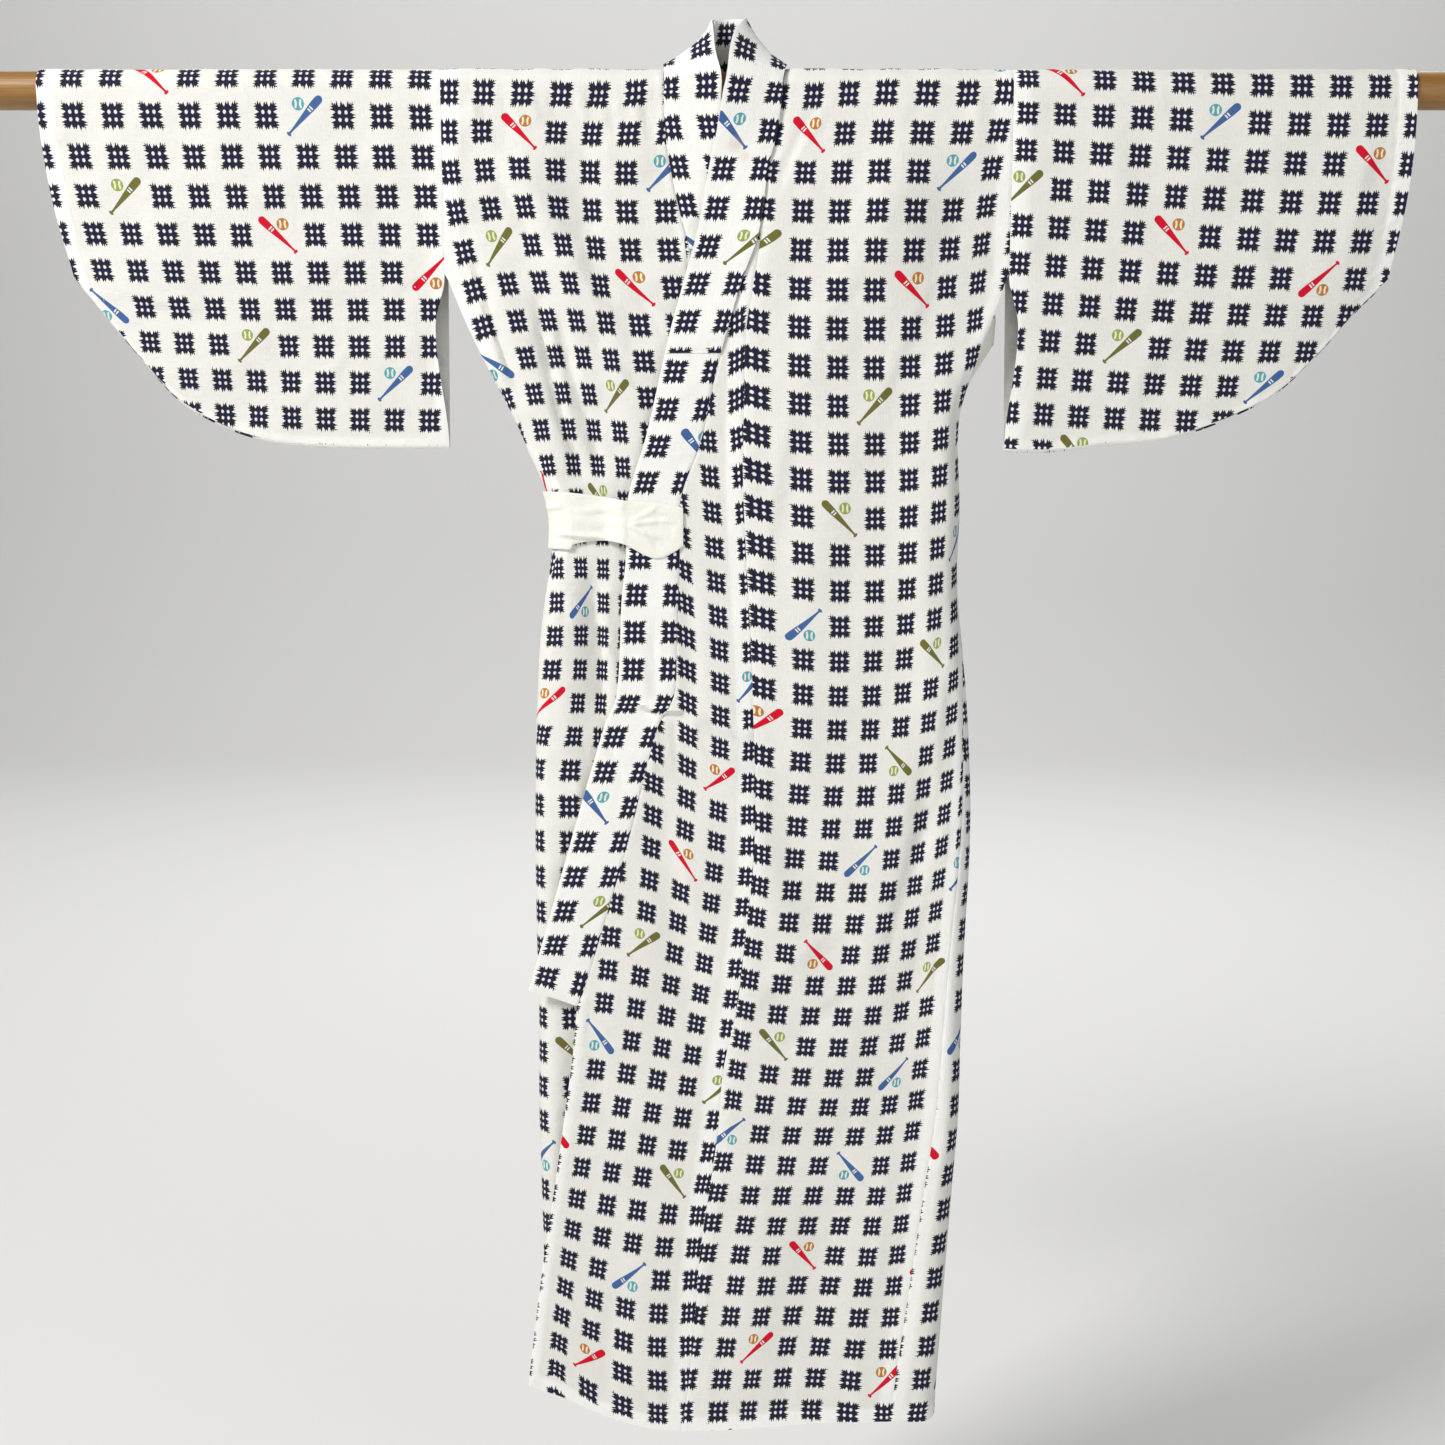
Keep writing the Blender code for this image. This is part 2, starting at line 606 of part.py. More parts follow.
def sleeve(name, side, feet):
    rows = []
    last = len(feet) - 1
    for i, foot in enumerate(feet):
        cuff = (1 - i / last)**2
        top_x = mix(foot.x * MM, side * CUFF_X, cuff)
        if i == last:
            top_x = side * (ARMHOLE_X + SEAM_GAP / 2)
            foot = Foot(top_x / MM, foot.z)
        rows.append(sleeve_ring(side, top_x, foot, CUFF_BOW * cuff))
    sheet(name, rows, CLOTH, COTTON, closed=True)


# Ties

def tie_y(x, z):
    """Depth of the outer tie: on the collar, then down on the under front."""
    on_collar = outer_y(x, z) - COLLAR_WALL / 2 - SEAM_GAP - TIE_WALL / 2
    on_under = under_y(x, z) - CLOTH / 2 - TIE_CLEAR - TIE_WALL / 2
    return mix(on_collar, on_under, smooth(TIE_STEP_FROM, TIE_STEP_TO, x))


def tie_outer():
    lift = CLOTH / 2 + TIE_TURN_CLEAR + TIE_WALL / 2
    stations = []
    for band in TIE_FRONT:
        heights = [mix(band.top, band.bottom, k / TIE_ROWS) * MM for k in range(TIE_ROWS + 1)]
        stations.append([Vector((band.x * MM, tie_y(band.x * MM, z), z)) for z in heights])
    heights = [mix(*TIE_TURN, k / TIE_ROWS) * MM for k in range(TIE_ROWS + 1)]
    for face in (-1, 1):
        for k in range(TURN_STEPS + 1):
            share = k / TURN_STEPS if face > 0 else 1 - k / TURN_STEPS
            if face > 0 and k == 0:
                continue
            line = [on_body(-1, face, z, ring(-1, z)[3] * share * 0.999, lift) for z in heights]
            stations.append(line)
    for band in TIE_BACK:
        x = band.x * MM
        heights = [mix(band.top, band.bottom, k / TIE_ROWS) * MM for k in range(TIE_ROWS + 1)]
        stations.append([Vector((x, back_y(x, z) + lift, z)) for z in heights])
    sheet("tie_outer", stations, TIE_WALL, IVORY)


def tie_inner():
    path = [Vector((r.x, r.y, r.z)) * MM for r in INNER_TIE]
    rows = []
    for i, route in enumerate(INNER_TIE):
        ahead = path[min(i + 1, len(path) - 1)] - path[max(i - 1, 0)]
        across = ahead.cross(Vector((route.nx, route.ny, 0))).normalized()
        rows.append([path[i] + across * route.width * MM * (k / 2 - 0.5) for k in range(3)])
    sheet("tie_inner", rows, TIE_WALL, IVORY)


def tie_knot():
    """The flat knot of both ties at the back."""
    bm = bmesh.new()
    cx, cy, cz = (v * MM for v in KNOT_CENTRE)
    wide, deep, tall = (v * MM / 2 for v in KNOT_SIZE)
    rings = []
    for i in range(KNOT_RINGS):
        lat = math.radians(mix(-75, 75, i / (KNOT_RINGS - 1)))
        size = math.cos(lat)**0.45
        line = []
        for j in range(KNOT_SIDES):
            turn = 2 * math.pi * j / KNOT_SIDES
            px = math.copysign(abs(math.cos(turn))**0.6, math.cos(turn)) * wide * size
            pz = math.copysign(abs(math.sin(turn))**0.6, math.sin(turn)) * tall * size
            line.append(bm.verts.new((cx + px, cy + math.sin(lat) * deep, cz + pz)))
        rings.append(line)
    for low, high in zip(rings, rings[1:]):
        for j in range(KNOT_SIDES):
            k = (j + 1) % KNOT_SIDES
            bm.faces.new((low[j], low[k], high[k], high[j]))
    bm.faces.new(rings[0])
    bm.faces.new(list(reversed(rings[-1])))
    new_object("tie_knot", bm, IVORY, 0.8)


def tie_tails():
    for name, (top_x, foot_x, length) in TAILS.items():
        rows = []
        for i in range(TAIL_STEPS + 1):
            t = i / TAIL_STEPS
            x = mix(top_x, foot_x, t) * MM
            z = (TAIL_TOP - length * t) * MM
            y = TAIL_Y + 1.5 * MM * math.sin(math.pi * t)
            width = TAIL_WIDTH * mix(0.55, 1.0, smooth(0, 0.3, t))
            rows.append([Vector((x + width * (k / 2 - 0.5), y, z)) for k in range(3)])
        sheet(name, rows, TIE_WALL, IVORY)


# Rod

def rod():
    bm = bmesh.new()
    half = ROD_LENGTH / 2
    profile = [(-half, ROD_RADIUS - ROD_CHAMFER), (-half + ROD_CHAMFER, ROD_RADIUS),
               (half - ROD_CHAMFER, ROD_RADIUS), (half, ROD_RADIUS - ROD_CHAMFER)]
    rings = []
    for x, radius in profile:
        line = []
        for j in range(ROD_SIDES):
            turn = 2 * math.pi * j / ROD_SIDES
            line.append(bm.verts.new((x, radius * math.cos(turn), radius * math.sin(turn))))
        rings.append(line)
    for low, high in zip(rings, rings[1:]):
        for j in range(ROD_SIDES):
            k = (j + 1) % ROD_SIDES
            bm.faces.new((low[j], low[k], high[k], high[j]))
    bm.faces.new(rings[0])
    bm.faces.new(list(reversed(rings[-1])))
    new_object("rod", bm, OAK, 0.35)


def main():
    for obj in list(bpy.data.objects):
        bpy.data.objects.remove(obj, do_unlink=True)
    rod()
    sheet("body_left", body_panel(1), CLOTH, COTTON)
    sheet("body_right", body_panel(-1), CLOTH, COTTON)
    sheet("okumi_left", okumi_panel(1), CLOTH, COTTON)
    sheet("okumi_right", okumi_panel(-1), CLOTH, COTTON)
    collar()
    over_collar()
    sleeve("sleeve_left", 1, LEFT_SLEEVE_FOOT)
    sleeve("sleeve_right", -1, RIGHT_SLEEVE_FOOT)
    tie_outer()
    tie_inner()
    tie_knot()
    tie_tails()


main()
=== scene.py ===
"""Looks of a child's cotton yukata hung on its wooden rod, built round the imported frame.

Forms are worked out in millimetres in the part's own frame: +Z up, the
wearer's front faces -Y and the wearer's left is +X. Every panel is a thin
shell that follows its solid, sampled finer, with creases and seams added.
"""

import math

import bpy
import numpy as np
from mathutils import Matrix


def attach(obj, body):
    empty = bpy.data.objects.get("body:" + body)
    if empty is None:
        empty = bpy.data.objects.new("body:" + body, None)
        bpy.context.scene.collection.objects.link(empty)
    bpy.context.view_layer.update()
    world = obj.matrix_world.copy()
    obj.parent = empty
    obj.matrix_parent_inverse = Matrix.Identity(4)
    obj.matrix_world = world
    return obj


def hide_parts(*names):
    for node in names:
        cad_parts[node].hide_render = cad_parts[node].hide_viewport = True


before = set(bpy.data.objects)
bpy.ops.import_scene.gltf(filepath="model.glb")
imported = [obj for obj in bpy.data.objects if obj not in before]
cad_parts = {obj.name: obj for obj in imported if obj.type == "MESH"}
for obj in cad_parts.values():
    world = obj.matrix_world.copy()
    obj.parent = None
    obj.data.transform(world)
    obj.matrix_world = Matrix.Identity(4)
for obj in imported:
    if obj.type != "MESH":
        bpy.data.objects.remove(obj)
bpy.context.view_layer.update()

# Sizes of the hanging robe, in mm
OVER_ROD = 16.1
LAP_STEP = 8.0
TURN_REACH = 16.0
ARMHOLE_X = 230.0
ARMHOLE_Z = -147.0
SIDE_SEAM_TOP = -280.0
OKUMI_TOP = -120.0
COLLAR_END = -745.0
COLLAR_END_DROP = 14.0
HEM_Z = -1140.0
CENTRE_BACK_X = 4.0
ARMHOLE_BLEND = 140.0
CUFF_X = 554.0
CUFF_BOW = 5.0
FOOT_RADIUS = 2.4
SLEEVE_TAPER = 1.6
SEAM_GAP = 0.16
CLOTH = 0.7
COLLAR_WALL = 2.0
COLLAR_COLUMNS = 22
TIE_WALL = 1.5
COLLAR_LEVELS = {1: -24.3, -1: -18.8}
SLEEVE_OPEN_BOW = 8.5
MEAN_FOOT_Z = -285.5
TIE_LIFT = 2.2 + TIE_WALL / 2
TAIL_WIDTH = 40
TAIL_Y = 23.5

# Turned edges: where each one's stitched line lies, from the edge
HEM_TURN = 12.6
LAP_TURN = 9.2
CUFF_TURN = 15.2

# Stitches: how far from the edge they lie, and how far apart
HEM_STITCHES, HEM_PITCH = 11.4, 8.5
LAP_STITCHES, LAP_PITCH = 8.2, 11.0
CUFF_STITCHES, CUFF_PITCH = 14.0, 9.0
COVER_PITCH = 6.5

# Grids: a panel's width with the distance of its lines, and how many rows
BODY_LINES, FRONT_ROWS, BACK_ROWS = (232, 4.4), 262, 190
LAP_LINES, LAP_ROWS = (120, 4.2), 250

# The print: its cell, the mark's half size and holes, and the bat and ball
CELL = 31.0
MARK_HALF = (6.9, 7.7)
HOLE_PLACE = (2.6, 2.8)
HOLE_SIZE = (1.25, 1.5)
BAT_SHOULDER = 16.9
BAT_RADIUS = 3.3
BAT_BANDS = 7.0
BAT_KNOB = -19.3
BALL_PLACE = (3.0, 9.6)
BALL_RADIUS = 5.0
SLANT = 0.7071
THREAD_PITCH = (1.8, 1.97)
THREAD_GAP = (2.7, 2.95)
BAT_RED, BALL_ORANGE = (0.60, 0.006, 0.024), (0.47, 0.175, 0.035)
BAT_BLUE, BALL_BLUE = (0.055, 0.122, 0.305), (0.08, 0.345, 0.435)
BAT_OLIVE, BALL_GREEN = (0.148, 0.141, 0.035), (0.27, 0.36, 0.085)
SINGLE_WHITE, DOUBLED_WHITE = (0.715, 0.705, 0.655), (0.87, 0.865, 0.835)
SLUB_WHITE, BALL_CREAM = (0.82, 0.815, 0.78), (0.80, 0.74, 0.55)
NAVY_EDGE, NAVY_MIDDLE = (0.012, 0.012, 0.024), (0.011, 0.010, 0.042)

# The ties' cotton, the rod's oak, and the thread
IVORY_DARK, IVORY_LIGHT = (0.79, 0.775, 0.695), (0.86, 0.845, 0.775)
OAK_DARK, OAK_LIGHT, OAK_PORE = (0.185, 0.082, 0.014), (0.37, 0.19, 0.045), (0.10, 0.042, 0.010)
THREAD_WHITE = (0.84, 0.83, 0.80)

# Silhouette: height, wearer's right edge, wearer's left edge
SIDES = [
    (-147, -229, 229), (-190, -211, 214), (-230, -192, 200), (-260, -177, 192),
    (-290, -164, 191), (-325, -149, 193), (-350, -145, 193), (-380, -147, 192),
    (-410, -152, 193), (-450, -157, 197), (-500, -160, 202), (-560, -162, 206),
    (-620, -163, 207), (-700, -163, 204), (-780, -162, 202), (-860, -163, 201),
    (-940, -162, 196), (-1020, -161, 191), (-1140, -162, 184),
]

# Edges of the laps: height and place
OUTER_COLLAR_SEAM = [
    (0, 44.5), (-36, 40), (-63, 33), (-89, 30), (-119, 24.6), (-147, 14), (-181, 3.3),
    (-210, -5), (-245, -13.5), (-280, -21), (-328, -38), (-378, -39), (-450, -42),
    (-490, -44), (-518, -58), (-617, -84), (-745, -122), (-762, -128),
]
OUTER_COLLAR_EDGE = [
    (0, -2.5), (-36, -8.5), (-63, -14.5), (-112, -23.5), (-147, -33.5), (-200, -48),
    (-245, -58.5), (-280, -67), (-328, -81.5), (-378, -83.5), (-410, -87), (-490, -92),
    (-518, -103), (-745, -169),
]
OUTER_OKUMI_SEAM = [
    (-120, 27), (-157, 21), (-193, 15.5), (-246, 14), (-310, 13.2), (-378, 16),
    (-450, 20), (-490, 21.5), (-580, 24), (-622, 23), (-650, 21), (-686, 17), (-758, 8.5),
    (-814, -3), (-866, -7.5), (-920, -15), (-976, -23), (-1038, -28), (-1100, -34),
    (-1140, -40),
]
OUTER_OKUMI_EDGE = [(-762, -128), (-806, -132), (-869, -140), (-932, -148), (-1014, -159), (-1140, -174)]
UNDER_COLLAR_SEAM = [
    (0, -50.8), (-44, -48.5), (-90, -40), (-128, -30), (-183, -18), (-215, -9),
    (-280, 1), (-328, 14), (-378, 19), (-490, 25), (-617, 53), (-745, 92), (-762, 97),
]
UNDER_COLLAR_EDGE = [
    (0, -4), (-12, -4.4), (-44, 0), (-90, 9), (-128, 17), (-183, 29), (-215, 38),
    (-280, 48), (-328, 60), (-378, 64), (-490, 71), (-617, 98), (-745, 137),
]
UNDER_OKUMI_SEAM = [
    (-120, -34.5), (-180, -27), (-300, -22), (-450, -16), (-600, -8), (-800, 0),
    (-1000, 8), (-1140, 14),
]
UNDER_OKUMI_EDGE = [(-762, 97), (-869, 108), (-1014, 126), (-1140, 140)]

# Rise of the hem line: place and height
OUTER_HEM = [(-174, 39), (-146, 29), (-107, 11), (-65, -1), (-20, -3), (44, 1), (104, 5), (190, 5)]
INNER_HEM = [(-162, 36), (-107, 20), (-50, 9), (0, 6), (190, 5)]

# Side seams: how far round on the front from the body's edge
RIGHT_SIDE_SEAM = [(-280, 0), (-328, 6), (-378, 4), (-450, -6), (-1140, -6)]
LEFT_SIDE_SEAM = [
    (-280, 0), (-450, 0), (-495, 4), (-620, 10), (-690, 13), (-778, 17), (-850, 21),
    (-920, 26), (-1000, 31), (-1140, 41),
]

# Folds and creases: start, end, half width, height over 0 for a ridge, bow
UNDER_FOLDS = [
    (-175, -25, -70, -300, 17, 3.0), (-120, -40, -95, -300, 15, -2.5),
    (-205, -110, -120, -310, 14, 2.5), (-150, -200, -110, -330, 11, -2.5),
    (-112, -385, -106, -520, 10, -5.0), (-132, -378, -140, -640, 13, 2.5),
    (-128, -640, -138, -1080, 16, -2.5),
]
OUTER_FOLDS = [
    (150, -40, 60, -240, 22, 2.2), (195, -60, 120, -330, 18, -2.0),
    (95, -210, 60, -560, 22, 1.8), (160, -330, 175, -560, 13, 3.0),
    (178, -500, 150, -790, 12, -3.0), (150, -560, 95, -850, 20, 2.6),
    (-10, -500, 70, -760, 18, 2.6), (30, -540, 130, -800, 20, -2.0),
    (-60, -560, -20, -820, 16, -2.0), (-30, -700, 110, -860, 26, 2.4),
    (-100, -840, 60, -960, 24, 2.2), (100, -820, 70, -1110, 24, -2.0),
    (-70, -930, -80, -1120, 20, 2.2), (30, -900, 20, -1120, 22, 2.0),
    (-35, -505, 25, -525, 8, 2.6), (-33, -380, -28, -500, 8, -2.0),
]
BACK_FOLDS = [
    (-185, -60, -120, -330, 18, 3.5), (185, -60, 130, -330, 18, 3.5),
    (-95, -120, -65, -330, 18, -3.0), (100, -130, 70, -330, 18, -3.0),
    (-110, -375, -125, -760, 17, 4.5), (-60, -375, -72, -700, 17, -4.0),
    (110, -375, 140, -820, 17, 4.5), (62, -375, 80, -740, 17, -4.0),
    (-30, -380, -34, -640, 14, 3.0), (36, -380, 40, -660, 14, 3.0),
    (-100, -700, -110, -1120, 24, 3.5), (90, -740, 110, -1120, 24, 3.5),
]
UNDER_CREASES = [
    (-217, -7, -128, -119, 9, 1.6, 4), (-128, -119, -82, -212, 8, 1.6, 3),
    (-154, -165, -128, -285, 4.5, -2.4, 3), (-128, -280, -116, -330, 4, -2.2, 0),
    (-137, -180, -112, -270, 4.5, -2.0, 2), (-112, -265, -103, -322, 4, -1.8, 0),
    (-146, -175, -121, -285, 4, 1.6, 3), (-216, -120, -168, -262, 3.2, 1.5, 2),
    (-208, -128, -160, -270, 3, -1.4, 2), (-172, -262, -146, -318, 3, 1.8, -2),
    (-186, -60, -150, -128, 5, -1.2, 3), (-95, -4, -89, -38, 2.2, -1.0, 1),
    (-180, -8, -173, -26, 2.2, -0.9, 1), (-130, -38, -108, -58, 2.4, -1.0, -1),
    (-204, -4, -200, -30, 2.6, 0.9, 1), (-160, -3, -152, -28, 2.6, 0.9, -1),
    (-142, -4, -137, -22, 2.2, -0.8, 1), (-118, -3, -113, -26, 2.6, 0.9, 1),
    (-78, -3, -72, -24, 2.4, 0.8, -1), (-66, -6, -60, -44, 2.4, -0.8, 1),
    (-100, -200, -66, -252, 3.2, 1.0, 3), (-86, -150, -52, -196, 3.2, -0.9, -3),
    (-112, -400, -104, -505, 4, -2.0, -3), (-100, -398, -96, -470, 3.4, 1.6, 2),
    (-138, -384, -133, -430, 3, -1.2, 1), (-150, -400, -152, -520, 4, 1.2, 2),
    (-126, -540, -120, -640, 5, 1.2, 2), (-150, -640, -153, -860, 4.5, -1.4, 2),
]
OUTER_CREASES = [
    (81, -2, 39, -84, 2.6, -1.5, 3), (86, -3, 47, -84, 3, 0.9, 3),
    (156, -14, 144, -34, 2, -0.8, 1), (203, -1, 200, -32, 4, 1.2, 0),
    (186, -440, 173, -590, 5, 1.7, 2), (173, -585, 133, -735, 6, -2.0, 3),
    (184, -590, 150, -745, 6, 1.6, 3), (195, -470, 190, -640, 4, -1.3, 2),
    (-78, -496, -34, -503, 2.6, 3.0, 2), (-76, -501, -32, -508, 2.4, -2.0, 2),
    (-44, -512, -40, -555, 2.5, -1.4, 1), (-58, -508, -62, -560, 3, 1.3, 1),
    (-30, -512, -18, -545, 2.5, 1.6, 1), (-20, -542, -3, -560, 2.5, 1.3, 1),
    (-18, -506, 4, -534, 3, -1.5, 2), (-72, -455, -66, -492, 3, 1.4, 1),
    (-60, -430, -58, -490, 2.6, -1.0, 1), (-98, -530, -86, -566, 3, -1.2, 1),
    (60, -232, 28, -420, 7, 1.1, 6), (118, -150, 74, -214, 6, -0.9, 4),
    (168, -150, 128, -240, 5, 1.0, 3), (186, -215, 176, -330, 4, -1.2, -3),
    (92, -690, 20, -760, 8, 1.3, 6), (120, -742, 44, -806, 7, -1.1, 6),
    (10, -640, 60, -720, 7, -1.0, 4), (-40, -610, -20, -690, 7, 1.1, 3),
    (64, -905, -20, -935, 7, 0.9, 5), (138, -880, 132, -1010, 6, 1.0, 3),
    (-118, -760, -96, -880, 7, -1.0, 3), (-96, -1010, -104, -1124, 6, -1.2, 2),
    (-12, -1060, -16, -1134, 6, 1.1, 1), (56, -1070, 52, -1134, 6, -1.1, 1),
    (112, -1064, 116, -1134, 6, 1.0, 1), (-56, -1066, -62, -1134, 5, 1.1, 1),
]
BACK_CREASES = [
    (-150, -60, -96, -300, 6, 1.6, 5), (146, -70, 100, -300, 6, 1.6, -5),
    (-200, -150, -158, -300, 4, -1.4, 3), (200, -150, 160, -290, 4, -1.4, -3),
    (-84, -200, -60, -322, 4, 1.5, 3), (88, -200, 58, -318, 4, 1.4, -3),
    (-44, -250, -30, -322, 3, -1.2, 2), (46, -256, 30, -320, 3, -1.2, -2),
    (-90, -384, -96, -560, 5, 1.8, 3), (-46, -382, -52, -520, 4, -1.6, 2),
    (86, -384, 98, -600, 5, 1.8, -3), (48, -382, 56, -500, 4, -1.6, -2),
    (-16, -384, -18, -470, 3, 1.2, 1), (20, -384, 22, -480, 3, 1.2, 1),
    (-140, -420, -146, -700, 6, -1.3, 2), (160, -420, 166, -760, 6, -1.3, 2),
    (-80, -600, -90, -900, 9, 1.3, 4), (60, -620, 76, -940, 9, 1.3, -4),
    (-30, -800, -36, -1120, 9, -1.2, 4), (30, -860, 30, -1130, 9, -1.1, 3),
    (130, -900, 140, -1130, 8, 1.2, 3), (-130, -860, -134, -1130, 8, 1.1, 3),
]

# Collar round the neck: angle round the rod, seam's x, edge's x, y and z. Past
# the centre back the angle goes on, and the seam comes back down the other side
NECK_MIDDLE = 157.5
NECK_END = 315
NECK = [
    (0, 44.5, -1.0, -24.5, 5), (22.5, 45.5, 0.5, -24.0, 14), (45, 46.5, 1.6, -21.5, 24),
    (67.5, 47.5, 3.0, -16.5, 34), (90, 47.5, 6.0, -8.0, 45), (112.5, 42.0, 11.5, 2.0, 54),
    (135, 28.0, 12.5, 11.0, 58), (157.5, 4.0, 2.5, 15.5, 59), (180, -22.0, -8.5, 12.0, 57.5),
    (202.5, -38.0, -9.5, 4.0, 52), (225, -50.0, -9.5, -4.0, 42), (247.5, -51.0, -9.0, -11.0, 31),
    (270, -51.0, -7.5, -15.8, 22), (292.5, -51.0, -5.0, -18.3, 13), (315, -50.8, -4.0, -18.8, 4),
]
OVER_COLLAR_END = -210.0

# Sleeves: lower edge from the cuff's foot to the open inner edge
RIGHT_SLEEVE_FOOT = [
    (-534, -149), (-512, -178), (-485, -211), (-457, -244), (-433, -261), (-402, -275),
    (-369, -283), (-322, -286), (-276, -286.5), (-230, -286.5),
]
LEFT_SLEEVE_FOOT = [
    (541, -151), (515, -178), (487, -210.5), (454, -242), (414, -263), (375, -277),
    (343, -282), (307, -285), (269, -289.5), (230, -289),
]
RIGHT_SLEEVE_CREASES = [
    (-490, -160, -429, -173, 2.6, 1.5, 2), (-492, -166, -432, -180, 3, -1.0, 2),
    (-248, -153, -268, -168, 2.6, -1.2, 1), (-304, -199, -328, -229, 2.6, 1.3, 1),
    (-328, -227, -350, -243, 2.6, 1.2, 1), (-420, -40, -330, -160, 14, 1.2, 6),
    (-300, -30, -262, -140, 12, -1.0, 4), (-480, -60, -440, -180, 12, 1.0, -5),
    (-262, -190, -246, -262, 7, 1.2, 2), (-380, -190, -300, -262, 10, -1.0, 5),
]
LEFT_SLEEVE_CREASES = [
    (240, -151, 254, -180, 2.6, -1.2, 1), (244, -5, 256, -30, 2.6, 1.0, 1),
    (262, -4, 268, -24, 2.4, -0.8, 1), (300, -40, 350, -170, 13, 1.2, -5),
    (420, -50, 470, -150, 12, -1.0, 4), (260, -190, 250, -268, 6, 1.2, 2),
    (390, -150, 330, -255, 10, 1.1, 5), (520, -40, 505, -140, 8, 1.0, 3),
]

# Ties: x, top and bottom of the bands, and the inner tie's x, y, z, facing and width
TIE_FRONT = [
    (-36, -335, -366), (-43, -333, -371), (-55, -331, -376), (-66, -330, -374.5),
    (-80, -329.5, -367), (-87, -328.5, -364), (-93, -327.5, -362.5), (-100, -326.5, -362),
    (-112, -324.5, -362.5), (-126, -323, -365),
]
TIE_TURN = (-322, -369)
TIE_BACK = [(-115, -322, -369), (-85, -324, -369), (-55, -326, -370), (-27, -327, -370)]
INNER_TIE = [
    (45, -18.6, -350, 0, -1, 44), (62, -18.6, -346, 0, -1, 44), (90, -17, -334, 0.1, -1, 44),
    (118, -13, -312, 0.15, -1, 42), (145, -8, -282, 0.2, -1, 38), (172, -4, -248, 0.2, -1, 32),
    (197, -1, -214, 0.3, -1, 27), (213, 3, -197, 0.8, -0.6, 25), (221, 10, -190, 1, 0, 25),
    (220.5, 17, -189, 0.9, 0.5, 25), (212, 21, -194, 0.3, 1, 26), (193, 22.5, -209, 0, 1, 30),
    (160, 23, -238, 0, 1, 36), (122, 23.5, -272, 0, 1, 42), (88, 23, -303, 0, 1, 44),
    (62, 22.5, -328, 0, 1, 43), (50, 22.5, -340, 0, 1, 40), (37, 22.5, -346, 0, 1, 38),
]
KNOT_CENTRE = (4, 26.5, -347)
KNOT_SIZE = (58, 15, 50)
TIE_CREASES = [
    (-80, -349, -56, -360, 1.7, 1.0, 1), (-80, -349, -46, -346, 1.7, 1.0, -1),
    (-79, -346, -58, -334, 1.8, 0.8, 1), (-82, -352, -66, -371, 1.8, -0.8, 1),
    (-142, -356, -106, -359, 2.0, 1.4, 0.5), (-108, -358, -82, -368, 2.0, 1.4, -1),
    (-142, -361.5, -104, -364, 1.6, -1.0, 0), (-150, -335, -136, -334, 2.2, 1.0, 0),
    (-124, -338, -82, -332, 3.0, 0.7, 1), (-60, -341, -44, -353, 2.2, -0.7, 1),
    (-130, -347, -90, -346, 5.0, 0.6, 1), (-70, -352, -60, -366, 1.6, 0.7, 1),
    (-62, -336, -50, -339, 1.6, 0.6, 0), (-100, -341, -84, -344, 2.0, -0.6, 0),
]
TAILS = {"tie_tail_outer": (-11, -37, 128), "tie_tail_inner": (19, 46, 112)}
TAIL_TOP = -371.4

